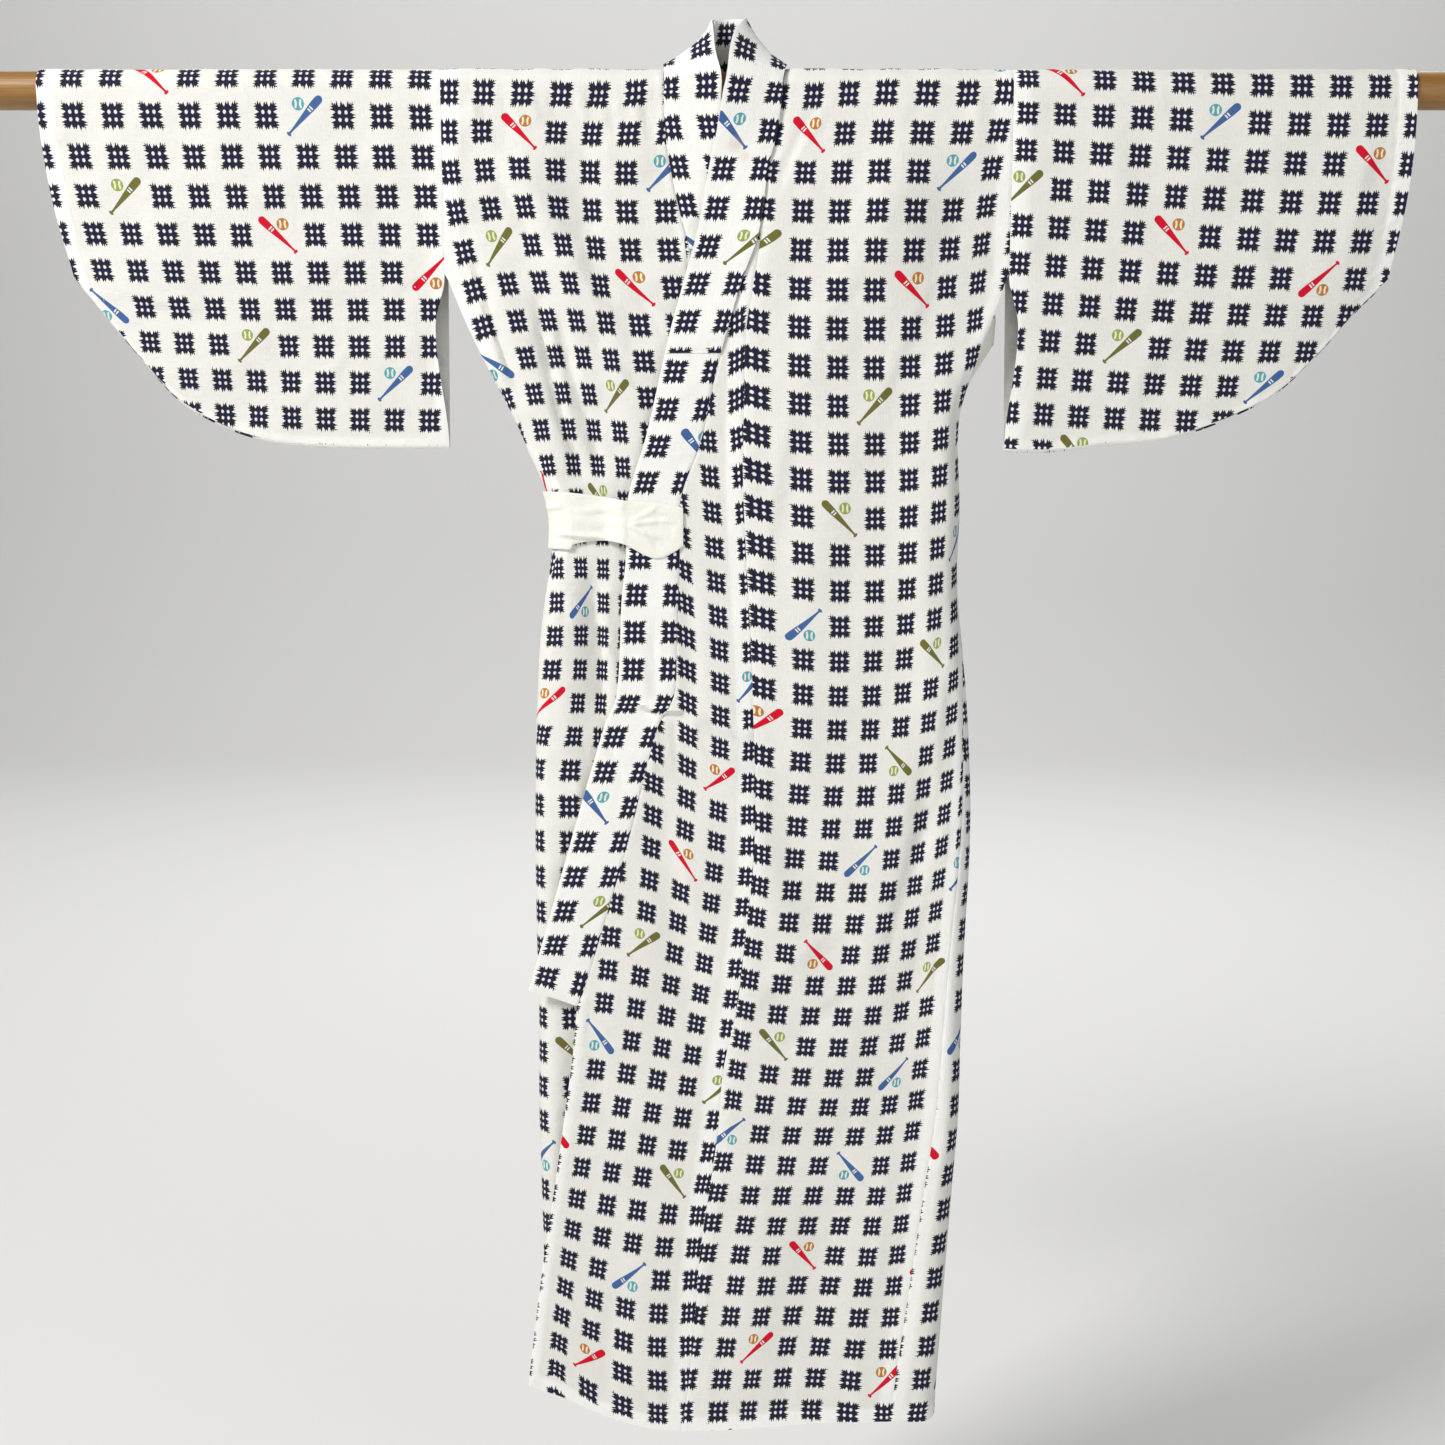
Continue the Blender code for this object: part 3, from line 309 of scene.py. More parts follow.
# Where the marks of the woven print lie, charted: for some rows of each
# panel, each mark's column and its x and z. A mark in column -1 lies past the
# lap's edge, where it would be if the cloth went on
MARKS = {
    "body_left": [
        (0, [(1, 40, -6), (3, 97, -7), (4, 128, -6), (5, 158, -5), (7, 216, -3)]),
        (2, [(3, 94, -68), (4, 124, -67), (5, 155, -66), (6, 186, -65), (7, 216, -62)]),
        (4, [(2, 63, -129), (3, 92, -129), (4, 123, -128), (6, 183, -126), (7, 214, -125)]),
        (6, [(2, 59, -191), (3, 89, -191), (4, 117, -190), (5, 146, -189), (6, 176, -186)]),
        (9, [(1, 25, -279)]),
        (11, [(1, 25, -336)]),
        (13, [(1, 27, -392), (2, 57, -398), (3, 87, -399), (5, 147, -400), (7, 188, -393)]),
        (15, [(2, 60, -460), (3, 90, -460), (4, 120, -462), (6, 174, -458), (7, 186, -449)]),
        (17, [(1, 34, -515), (3, 92, -519), (4, 122, -520), (5, 150, -521), (7, 186, -506)]),
        (19, [(1, 35, -571), (3, 93, -574), (4, 122, -576), (5, 149, -575), (7, 184, -562)]),
        (21, [(1, 33, -628), (3, 90, -634), (4, 118, -635), (5, 142, -632), (7, 182, -618)]),
        (23, [(1, 25, -680), (3, 82, -689), (4, 108, -689), (5, 131, -684), (7, 177, -673)]),
        (26, [(2, 40, -766), (3, 67, -766), (4, 92, -764), (6, 142, -757), (7, 170, -755)]),
        (32, [(2, 18, -924), (3, 45, -924), (4, 72, -923), (6, 127, -925), (7, 156, -926)]),
        (34, [(3, 38, -977), (4, 66, -979), (5, 94, -981), (6, 123, -982), (7, 152, -983)]),
        (36, [(2, 4, -1037), (3, 32, -1040), (4, 61, -1041), (6, 117, -1043), (7, 146, -1041)]),
        (39, [(2, -8, -1124), (3, 20, -1125), (4, 49, -1125), (6, 104, -1121), (7, 132, -1124)]),
    ],
    "body_right": [
        (0, [(0, -223, -5), (1, -195, -5), (2, -166, -5), (4, -105, -7), (5, -76, -6)]),
        (2, [(0, -221, -66), (1, -192, -65), (2, -164, -64), (3, -136, -65), (4, -105, -66)]),
        (4, [(0, -215, -128), (1, -187, -123), (2, -158, -124), (4, -104, -125), (5, -75, -126)]),
        (6, [(0, -197, -188), (1, -173, -183), (2, -150, -183), (4, -96, -185), (5, -72, -187)]),
        (7, [(0, -187, -220), (1, -165, -214), (2, -142, -212), (4, -94, -216), (5, -67, -217)]),
        (8, [(1, -158, -243), (2, -136, -241), (3, -118, -245), (4, -92, -246), (5, -63, -245)]),
        (9, [(1, -149, -273), (2, -132, -270), (3, -112, -271), (4, -92, -276), (5, -63, -274)]),
        (10, [(1, -142, -301), (2, -125, -298), (3, -108, -298), (4, -91, -303)]),
        (13, [(1, -135, -383), (2, -113, -383)]),
        (15, [(1, -145, -440), (2, -119, -442)]),
        (17, [(1, -154, -498), (2, -129, -500), (3, -102, -499)]),
        (19, [(2, -137, -557), (3, -113, -556)]),
        (22, [(2, -143, -641)]),
    ],
    "sleeve_right": [
        (2, [(0, -525, -22), (2, -462, -22), (5, -370, -22), (7, -308, -23), (9, -247, -23)]),
        (4, [(0, -518, -84), (2, -457, -85), (4, -397, -84), (6, -336, -85), (9, -244, -85)]),
        (6, [(0, -510, -143), (2, -451, -145), (4, -393, -145), (6, -332, -145), (8, -270, -145)]),
        (8, [(1, -472, -199), (3, -416, -202), (5, -360, -204), (7, -303, -204), (9, -244, -204)]),
        (10, [(3, -417, -259), (4, -387, -261), (5, -358, -261), (8, -274, -262), (9, -246, -265)]),
    ],
    "sleeve_left": [
        (1, [(1, 243, 8), (3, 302, 6), (5, 366, 4), (8, 461, 1), (10, 524, 1)]),
        (3, [(1, 241, -48), (3, 302, -51), (5, 366, -55), (7, 427, -58), (9, 489, -59)]),
        (5, [(1, 238, -109), (3, 298, -111), (6, 393, -117), (8, 455, -120), (10, 517, -121)]),
        (7, [(1, 240, -169), (3, 295, -171), (5, 357, -175), (7, 418, -178), (9, 479, -179)]),
        (10, [(1, 233, -256), (3, 290, -260), (4, 320, -262), (5, 351, -265), (7, 410, -263)]),
    ],
    "okumi_left": [
        (-12, [(3, -14, -281), (4, 14, -278)]),
        (-10, [(3, -18, -338), (4, 14, -335)]),
        (-8, [(3, -12, -396), (4, 17, -394)]),
        (-6, [(3, -11, -454), (4, 18, -455)]),
        (-5, [(3, -7, -482), (4, 19, -483)]),
        (-4, [(3, -2, -510), (4, 21, -511)]),
        (-2, [(1, -54, -538), (2, -32, -553), (3, -5, -562)]),
        (-1, [(1, -57, -565), (2, -33, -578), (3, -5, -588)]),
        (1, [(1, -61, -618), (2, -33, -629), (3, -7, -638)]),
        (3, [(0, -97, -669), (1, -69, -676), (2, -42, -686), (3, -14, -694)]),
        (5, [(-1, -130, -724), (0, -103, -728), (1, -76, -729), (2, -50, -740), (3, -25, -751)]),
        (7, [(-1, -136, -781), (0, -109, -785), (1, -83, -788), (2, -58, -791), (3, -32, -801)]),
        (9, [(-1, -145, -838), (0, -118, -842), (1, -91, -848), (2, -66, -850), (3, -40, -853)]),
        (11, [(-1, -152, -897), (0, -125, -902), (1, -98, -909), (2, -72, -911), (3, -46, -912)]),
        (14, [(-1, -160, -972), (0, -134, -981), (1, -110, -994), (2, -82, -1001), (3, -55, -1003)]),
        (16, [(0, -141, -1036), (1, -117, -1049), (2, -90, -1059), (3, -62, -1065)]),
        (18, [(0, -151, -1087), (1, -126, -1099)]),
    ],
}

# Degree of the curves drawn through the marks, and where they hold: x, x, z, z
PRINT_CURVES = {
    "body_left": (4, 0, 215, -1125, -4),
    "body_right": (4, -220, -66, -640, -6),
    "sleeve_right": (3, -522, -242, -264, -10),
    "sleeve_left": (3, 234, 522, -264, 0),
    "okumi_left": (4, -150, 21, -1098, -253),
}

# Last column of the print before the left side seam: height and place
PRINT_EDGE = [
    (0, 215), (-560, 205), (-620, 196), (-675, 183), (-760, 174), (-860, 164),
    (-960, 160), (-1060, 152), (-1140, 142),
]

# First column of the under lap's print: height and place
UNDER_PRINT_EDGE = [(0, -220), (-150, -220), (-280, -172), (-400, -150), (-520, -144), (-1140, -140)]

# Beside the overlap's seam both prints lie a little nearer the side, in mm
SEAM_PULL, SEAM_PULL_REACH = 4.5, 16

# Places on each side between which the print of the shoulder and back is laid out
TOP_PRINT = {1: (60.0, 200.0), -1: (-200.0, -80.0)}

# Below this place the under lap's print goes on straight: x, z, across, down
LOW_UNDER_PRINT = (-140, -560, 1.75, 19.18)

# Faint old stains on the collar's cover: place, reach, colour and strength
STAINS = [
    ((6.3, -24, -46), 6.0, (0.56, 0.36, 0.22), 0.32),
    ((14, -25, -55), 4.0, (0.62, 0.45, 0.30), 0.26),
]


# Small helpers

def step(start, end, value):
    """Eased step from 0 at start to 1 at end."""
    t = np.clip((value - start) / (end - start), 0.0, 1.0)
    return t * t * (3 - 2 * t)


def mix(a, b, t):
    return a + (b - a) * t


def widest(*shares):
    """The greatest of several grids that may differ in shape."""
    return np.maximum.reduce(np.broadcast_arrays(*shares))


def bell(off, width):
    return np.exp(-(off / width) ** 2)


def length_along(line):
    """How far along a line of points each one lies."""
    return np.concatenate([[0], np.cumsum(np.linalg.norm(np.diff(line, axis=0), axis=-1))])


def curve(rows, at, column=1):
    """Soft curve through the rows' places and values."""
    pts = np.array(sorted((row[0], row[column]) for row in rows), float)
    xs, ys = pts[:, 0], pts[:, 1]
    hi = np.minimum(np.arange(len(xs)) + 1, len(xs) - 1)
    lo = np.maximum(np.arange(len(xs)) - 1, 0)
    slopes = (ys[hi] - ys[lo]) / (xs[hi] - xs[lo])
    at = np.clip(np.asarray(at, float), xs[0], xs[-1])
    i = np.clip(np.searchsorted(xs, at, side="right") - 1, 0, len(xs) - 2)
    gap = xs[i + 1] - xs[i]
    t = (at - xs[i]) / gap
    return ((2 * t**3 - 3 * t**2 + 1) * ys[i] + (t**3 - 2 * t**2 + t) * gap * slopes[i]
            + (3 * t**2 - 2 * t**3) * ys[i + 1] + (t**3 - t**2) * gap * slopes[i + 1])


def folds(rows, x, z):
    """How far the folds or creases lift the cloth outwards."""
    total = 0.0 * (x + z)
    for row in rows:
        x0, z0, x1, z1, width, height = row[:6]
        bow = row[6] if len(row) > 6 else 0.0
        dx, dz = x1 - x0, z1 - z0
        length = math.hypot(dx, dz)
        t = ((x - x0) * dx + (z - z0) * dz) / length**2
        off = ((x - x0) * dz - (z - z0) * dx) / length - bow * 4 * t * (1 - t)
        ends = step(-0.1, 0.2, t) * step(1.1, 0.8, t)
        total = total + height * ends * bell(off, width)
    return total


def ripple(x, z, seed):
    """Low uneven waves of soft cloth, about half a millimetre high."""
    rng = np.random.default_rng(seed)
    total = 0.0 * (x + z)
    for _ in range(9):
        wave = rng.uniform(24, 95)
        turn = rng.uniform(0, math.pi)
        phase = rng.uniform(0, 2 * math.pi)
        bend = rng.uniform(60, 140)
        warp = 4 * np.sin((x * math.sin(turn) - z * math.cos(turn)) / bend + phase)
        total = total + wave / 95 * np.sin(
            (x * math.cos(turn) + z * math.sin(turn) + warp) * 2 * math.pi / wave + phase)
    return 0.26 * total


def pressed(z):
    return 1 - 0.85 * step(-300, -318, z) * step(-395, -375, z)


def near_tie(x, z):
    """1 where the outer tie lies on the front, so no crease crosses under it."""
    return step(-22, -36, x) * step(-300, -320, z) * step(-398, -380, z)


# Form of the hanging body, as in the part's source, with creases

def sleeve_depth(z, foot_z):
    t = np.clip(z / foot_z, 0.0, 1.0)
    return mix(OVER_ROD, FOOT_RADIUS, t**SLEEVE_TAPER)


def armhole_draw(x, z):
    near = step(ARMHOLE_BLEND, ARMHOLE_X, np.abs(x)) * step(SIDE_SEAM_TOP, ARMHOLE_Z, z)
    return (OVER_ROD - sleeve_depth(np.maximum(z, ARMHOLE_Z), MEAN_FOOT_Z)) * near


def fine(x, z, creases, seed):
    """Creases and ripples, fading at the rod, the armholes and the tie."""
    inwards = step(229, 214, np.abs(x) - 40 * step(-150, -200, z))
    free = step(6, -8, z) * (1 - 0.85 * near_tie(x, z)) * inwards
    return (folds(creases, x, z) + ripple(x, z, seed)) * free


def under_y(x, z):
    lifted = (folds(UNDER_FOLDS, x, z) + 1.5 * fine(x, z, UNDER_CREASES, 3)) * pressed(z)
    return -OVER_ROD - lifted + armhole_draw(x, z)


def outer_y(x, z):
    at_armhole = step(120, 225, x) * step(-260, ARMHOLE_Z, z)
    lap = LAP_STEP * step(0, -100, z) * (1 - at_armhole)
    return -OVER_ROD - lap - folds(OUTER_FOLDS, x, z) - fine(x, z, OUTER_CREASES, 5) + armhole_draw(x, z)


def back_y(x, z):
    lifted = (folds(BACK_FOLDS, x, z) + fine(x, z, BACK_CREASES, 8)) * pressed(z)
    return OVER_ROD + lifted - armhole_draw(x, z)


def front_y(side, x, z):
    return outer_y(x, z) if side > 0 else under_y(x, z)


def hem_rise(rises, x, z):
    return z + step(-700, -1100, z) * curve(rises, x)


def silhouette(side, z):
    edge = side * curve(SIDES, z, 2 if side > 0 else 1)
    return np.where(z >= ARMHOLE_Z, ARMHOLE_X, edge)


def ring(side, z):
    """The side turn at a height: start, half depth, angle and length."""
    turn = math.pi / 2 * step(ARMHOLE_Z, SIDE_SEAM_TOP, z)
    start = silhouette(side, z) - TURN_REACH * np.sin(turn)
    deep = (back_y(side * start, z) - front_y(side, side * start, z)) / 2
    return start, deep, turn, turn * (TURN_REACH + deep) / 2


def on_body(side, face, z, along, lift=0.0):
    """Points on the front (-1) or back (1), measured along the cloth from the
    body's edge. Gives the points and how far out they'd lie if laid flat."""
    z, along = np.broadcast_arrays(np.asarray(z, float), np.asarray(along, float))
    over = along < 0
    faces = np.where(over, -face, face)
    d = np.abs(along)
    start, deep, turn, length = ring(side, z)
    safe = np.maximum(length, 1e-6)
    angle = np.where(d < length, turn * (1 - d / safe), 0.0)
    in_turn = d < length
    x = np.where(in_turn, start + (TURN_REACH + lift) * np.sin(angle), start - (d - length))
    at = np.where(in_turn, start, x)
    edge = np.where(faces < 0, front_y(side, side * at, z), back_y(side * at, z))
    y = edge - faces * np.where(in_turn, deep * (1 - np.cos(angle)), 0.0) + faces * lift * np.cos(angle)
    front_rise = OUTER_HEM if side > 0 else INNER_HEM
    high = np.where(faces < 0, hem_rise(front_rise, side * x, z), hem_rise(INNER_HEM, side * x, z))
    flat_x = side * (start + length - along)
    return np.stack([side * x, y, high], -1), flat_x


def seam_along(side, z):
    reach = curve(LEFT_SIDE_SEAM if side > 0 else RIGHT_SIDE_SEAM, z)
    _, deep, _, length = ring(side, z)
    over = np.abs(reach)
    small = np.arccos(np.clip(1 - over / TURN_REACH, -1, 1)) * (TURN_REACH + deep) / 2
    along = np.copysign(np.where(over < TURN_REACH, small, length + over - TURN_REACH), reach)
    return np.where(z > SIDE_SEAM_TOP, 0.0, along)


def front_edge(side, z):
    upper, lower = ((OUTER_COLLAR_SEAM, OUTER_OKUMI_SEAM) if side > 0
                    else (UNDER_COLLAR_SEAM, UNDER_OKUMI_SEAM))
    return np.where(z > OKUMI_TOP, curve(upper, z), curve(lower, z))


def spread(width, pitch):
    """Shares across a panel of this width, closer together at both edges."""
    near = [0.0, 0.7, 1.6, 3.0, 5.0, 8.0]
    count = int((width - 16) / pitch)
    middle = [8 + (width - 16) * (k + 1) / (count + 1) for k in range(count)]
    return np.array(near + middle + [width - v for v in reversed(near)]) / width


def rows_from_hem(top, count):
    """Heights from the hem to the top, closer together at the hem."""
    return np.concatenate([[HEM_Z, HEM_Z + 1.2, HEM_Z + 3], np.linspace(HEM_Z + 6, top, count)])


def seam_roll(d):
    """How far the cloth dips where it turns in at a seam, d from it."""
    return -0.4 * bell(d, 1.3)


def puckers(d, s, seed):
    """Small gathers that the stitches leave beside a seam."""
    rng = np.random.default_rng(seed)
    wave = (np.sin(s / 2.6 + rng.uniform(0, 6)) + np.sin(s / 3.7 + rng.uniform(0, 6))
            + 0.8 * np.sin(s / 6.1 + rng.uniform(0, 6)))
    return 0.16 * wave * bell(d, 6.0) * (1 - bell(d, 1.4))


def hem_relief(d):
    """The turned-up hem, raised as far as its stitched line, d from the foot."""
    return 0.35 * step(HEM_TURN + 0.4, HEM_TURN - 1.0, d) - 0.5 * bell(d - HEM_TURN, 0.9)


def grid_normals(p, closed=False):
    """Unit normals of a grid of points."""
    up = np.empty_like(p)
    up[1:-1] = p[2:] - p[:-2]
    up[0], up[-1] = p[1] - p[0], p[-1] - p[-2]
    if closed:
        side = np.roll(p, -1, 1) - np.roll(p, 1, 1)
    else:
        side = np.empty_like(p)
        side[:, 1:-1] = p[:, 2:] - p[:, :-2]
        side[:, 0], side[:, -1] = p[:, 1] - p[:, 0], p[:, -1] - p[:, -2]
    n = np.cross(up, side)
    return n / np.maximum(np.linalg.norm(n, axis=-1, keepdims=True), 1e-9)


def facing_out(p, i, j, closed=False):
    """Normals turned outwards, and 1 or -1 for whether they were turned. The
    point i, j lies on the front."""
    n = grid_normals(p, closed)
    out = -np.sign(n[i, j, 1])
    return n * out, out


def print_terms(degree, x, z):
    a, b = x / 100, z / 100
    return [a**i * b**j for i in range(degree + 1) for j in range(degree + 1 - i)]


def print_fit(name):
    """Factors of the smooth curves that pass nearest to a panel's charted marks."""
    marks = np.array([(column, row, x, z) for row, run in MARKS[name] for column, x, z in run], float)
    terms = np.stack(print_terms(PRINT_CURVES[name][0], marks[:, 2], marks[:, 3]), -1)
    steady = terms.T @ terms + 1e-4 * np.eye(terms.shape[1])
    return np.linalg.solve(steady, terms.T @ marks[:, :2]).T


PRINT_FACTORS = {name: print_fit(name) for name in MARKS}


def print_place(name, x, z):
    """Cells across and down at a place of a panel."""
    degree, x_lo, x_hi, z_lo, z_hi = PRINT_CURVES[name]
    across, down = PRINT_FACTORS[name]
    if name in ("body_left", "okumi_left"):
        near = bell(x - curve(OUTER_OKUMI_SEAM, z), SEAM_PULL_REACH)
        x = x - SEAM_PULL * near * step(-560, -650, z) * step(-950, -860, z)
    if name == "body_left":
        x_hi = curve(PRINT_EDGE, z)
    if name == "body_right":
        x_lo = curve(UNDER_PRINT_EDGE, z)
    cx, cz = np.clip(x, x_lo, x_hi), np.clip(z, z_lo, z_hi)
    terms = print_terms(degree, cx, cz)
    u = sum(k * t for k, t in zip(across, terms)) + (x - cx) / CELL
    v = sum(k * t for k, t in zip(down, terms)) - (z - cz) / CELL
    if name == "body_right":
        # Below the part that shows, the cells go on straight down
        x0, z0, u0, v0 = LOW_UNDER_PRINT
        low = step(-500, -600, z)
        u, v = mix(u, u0 + (x - x0) / CELL, low), mix(v, v0 - (z - z0) / CELL, low)
    return u, v


# Making the shells

def shell(name, p, uv, doubled, wall, out=0, closed=False, material=None):
    """A thin wall on both sides of a grid, riding on the body. Where out is 1
    or -1, the side of the grid's normals is the cloth's face or its reverse."""
    n, m = p.shape[:2]
    normal = grid_normals(p, closed)
    wall = np.broadcast_to(np.asarray(wall, float), (n, m))[..., None]
    skins = np.concatenate([(p + normal * wall / 2).reshape(-1, 3),
                            (p - normal * wall / 2).reshape(-1, 3)]) * 0.001
    cols = m if closed else m - 1
    wide = m + 1 if closed else m
    i, j = np.meshgrid(np.arange(n - 1), np.arange(cols), indexing="ij")
    i, j = i.ravel(), j.ravel()

    def vert(r, c):
        return r * m + c % m

    def spot(r, c):
        return r * wide + c

    corners = [(i, j), (i + 1, j), (i + 1, j + 1), (i, j + 1)]
    front = np.stack([vert(r, c) for r, c in corners], -1)
    spots = np.stack([spot(r, c) for r, c in corners], -1)
    back = front[:, ::-1] + n * m
    faces, places = [front, back], [spots, spots[:, ::-1]]
    j = np.arange(cols)
    for r, flip in ((0, False), (n - 1, True)):
        a, b = vert(r, j), vert(r, j + 1)
        quad = np.stack([a, b, b + n * m, a + n * m], -1)
        where = np.stack([spot(r, j), spot(r, j + 1), spot(r, j + 1), spot(r, j)], -1)
        faces.append(quad[:, ::-1] if flip else quad)
        places.append(where[:, ::-1] if flip else where)
    if not closed:
        i = np.arange(n - 1)
        for c, flip in ((0, True), (m - 1, False)):
            a, b = vert(i, c), vert(i + 1, c)
            quad = np.stack([a, b, b + n * m, a + n * m], -1)
            where = np.stack([spot(i, c), spot(i + 1, c), spot(i + 1, c), spot(i, c)], -1)
            faces.append(quad[:, ::-1] if flip else quad)
            places.append(where[:, ::-1] if flip else where)
    faces, places = np.concatenate(faces), np.concatenate(places)
    mesh = bpy.data.meshes.new(name)
    mesh.from_pydata(skins.tolist(), [], faces.tolist())
    layer = mesh.uv_layers.new(name="UVMap")
    flat = np.stack([uv[0].reshape(-1), uv[1].reshape(-1)], -1)
    layer.data.foreach_set("uv", flat[places.reshape(-1)].astype(np.float32).ravel())
    share = mesh.attributes.new("doubled", "FLOAT", "POINT")
    values = np.broadcast_to(np.asarray(doubled, float), (n, m)).reshape(-1)
    faced = values - 2.0 * (out < 0), values - 2.0 * (out > 0)
    share.data.foreach_set("value", np.concatenate(faced).astype(np.float32))
    return finish_piece(name, mesh, material)


def finish_piece(name, mesh, material):
    mesh.shade_smooth()
    mesh.set_sharp_from_angle(angle=math.radians(50))
    obj = bpy.data.objects.new(name, mesh)
    bpy.context.scene.collection.objects.link(obj)
    mesh.materials.append(material or COTTON)
    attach(obj, "root")
    return obj


# Materials

class Term:
    """A node's value that can be written in sums."""

    tree = None

    def __init__(self, socket):
        self.socket = socket

    @classmethod
    def op(cls, kind, *inputs, clamp=False):
        node = cls.tree.nodes.new("ShaderNodeMath")
        node.operation = kind
        node.use_clamp = clamp
        for k, value in enumerate(inputs):
            if isinstance(value, Term):
                cls.tree.links.new(value.socket, node.inputs[k])
            else:
                node.inputs[k].default_value = value
        return Term(node.outputs[0])

    def __add__(self, other):
        return Term.op("ADD", self, other)

    def __radd__(self, other):
        return Term.op("ADD", other, self)

    def __sub__(self, other):
        return Term.op("SUBTRACT", self, other)

    def __rsub__(self, other):
        return Term.op("SUBTRACT", other, self)

    def __mul__(self, other):
        return Term.op("MULTIPLY", self, other)

    def __rmul__(self, other):
        return Term.op("MULTIPLY", other, self)

    def __truediv__(self, other):
        return Term.op("DIVIDE", self, other)

    def __abs__(self):
        return Term.op("ABSOLUTE", self)


def inside(value, soft):
    """1 where value is over 0, with an edge this wide."""
    return Term.op("MULTIPLY_ADD", value, 1 / soft, 0.5, clamp=True)


def larger(a, b):
    return Term.op("MAXIMUM", a, b)


def smaller(a, b):
    return Term.op("MINIMUM", a, b)


def root(a):
    return Term.op("SQRT", larger(a, 0.0))


def chance(tree, x, y, z=0.0):
    """A fixed random number from 0 to 1 for each whole x, y and z."""
    join = tree.nodes.new("ShaderNodeCombineXYZ")
    for k, value in enumerate((x, y, z)):
        if isinstance(value, Term):
            tree.links.new(value.socket, join.inputs[k])
        else:
            join.inputs[k].default_value = value
    noise = tree.nodes.new("ShaderNodeTexWhiteNoise")
    noise.noise_dimensions = "3D"
    tree.links.new(join.outputs[0], noise.inputs["Vector"])
    return Term(noise.outputs["Value"])


def noise(tree, vector, scale, detail=2.0, rough=0.5):
    node = tree.nodes.new("ShaderNodeTexNoise")
    node.inputs["Scale"].default_value = scale
    node.inputs["Detail"].default_value = detail
    node.inputs["Roughness"].default_value = rough
    tree.links.new(vector, node.inputs["Vector"])
    return Term(node.outputs["Fac"] if "Fac" in node.outputs else node.outputs[0])


def stretched(tree, vector, scale):
    node = tree.nodes.new("ShaderNodeMapping")
    node.inputs["Scale"].default_value = scale
    tree.links.new(vector, node.inputs["Vector"])
    return node.outputs[0]


def blend(tree, share, low, high):
    """Mix of two colours; each is a tuple or a socket."""
    node = tree.nodes.new("ShaderNodeMix")
    node.data_type = "RGBA"
    tree.links.new(share.socket, node.inputs["Factor"])
    for key, value in (("A", low), ("B", high)):
        socket = [s for s in node.inputs if s.name == key and s.type == "RGBA"][0]
        if isinstance(value, tuple):
            socket.default_value = (*value, 1)
        else:
            tree.links.new(value, socket)
    return [s for s in node.outputs if s.type == "RGBA"][0]


def cloth_shader(name, roughness=0.86):
    mat = bpy.data.materials.new(name)
    mat.use_nodes = True
    tree = mat.node_tree
    shader = tree.nodes["Principled BSDF"]
    shader.inputs["Roughness"].default_value = roughness
    shader.inputs["Specular IOR Level"].default_value = 0.12
    shader.inputs["Sheen Weight"].default_value = 0.04
    shader.inputs["Sheen Roughness"].default_value = 0.4
    Term.tree = tree
    return mat, tree, shader


def weave_bump(tree, shader, height, distance):
    bump = tree.nodes.new("ShaderNodeBump")
    bump.inputs["Strength"].default_value = 1.0
    bump.inputs["Distance"].default_value = distance
    tree.links.new(height.socket, bump.inputs["Height"])
    tree.links.new(bump.outputs[0], shader.inputs["Normal"])


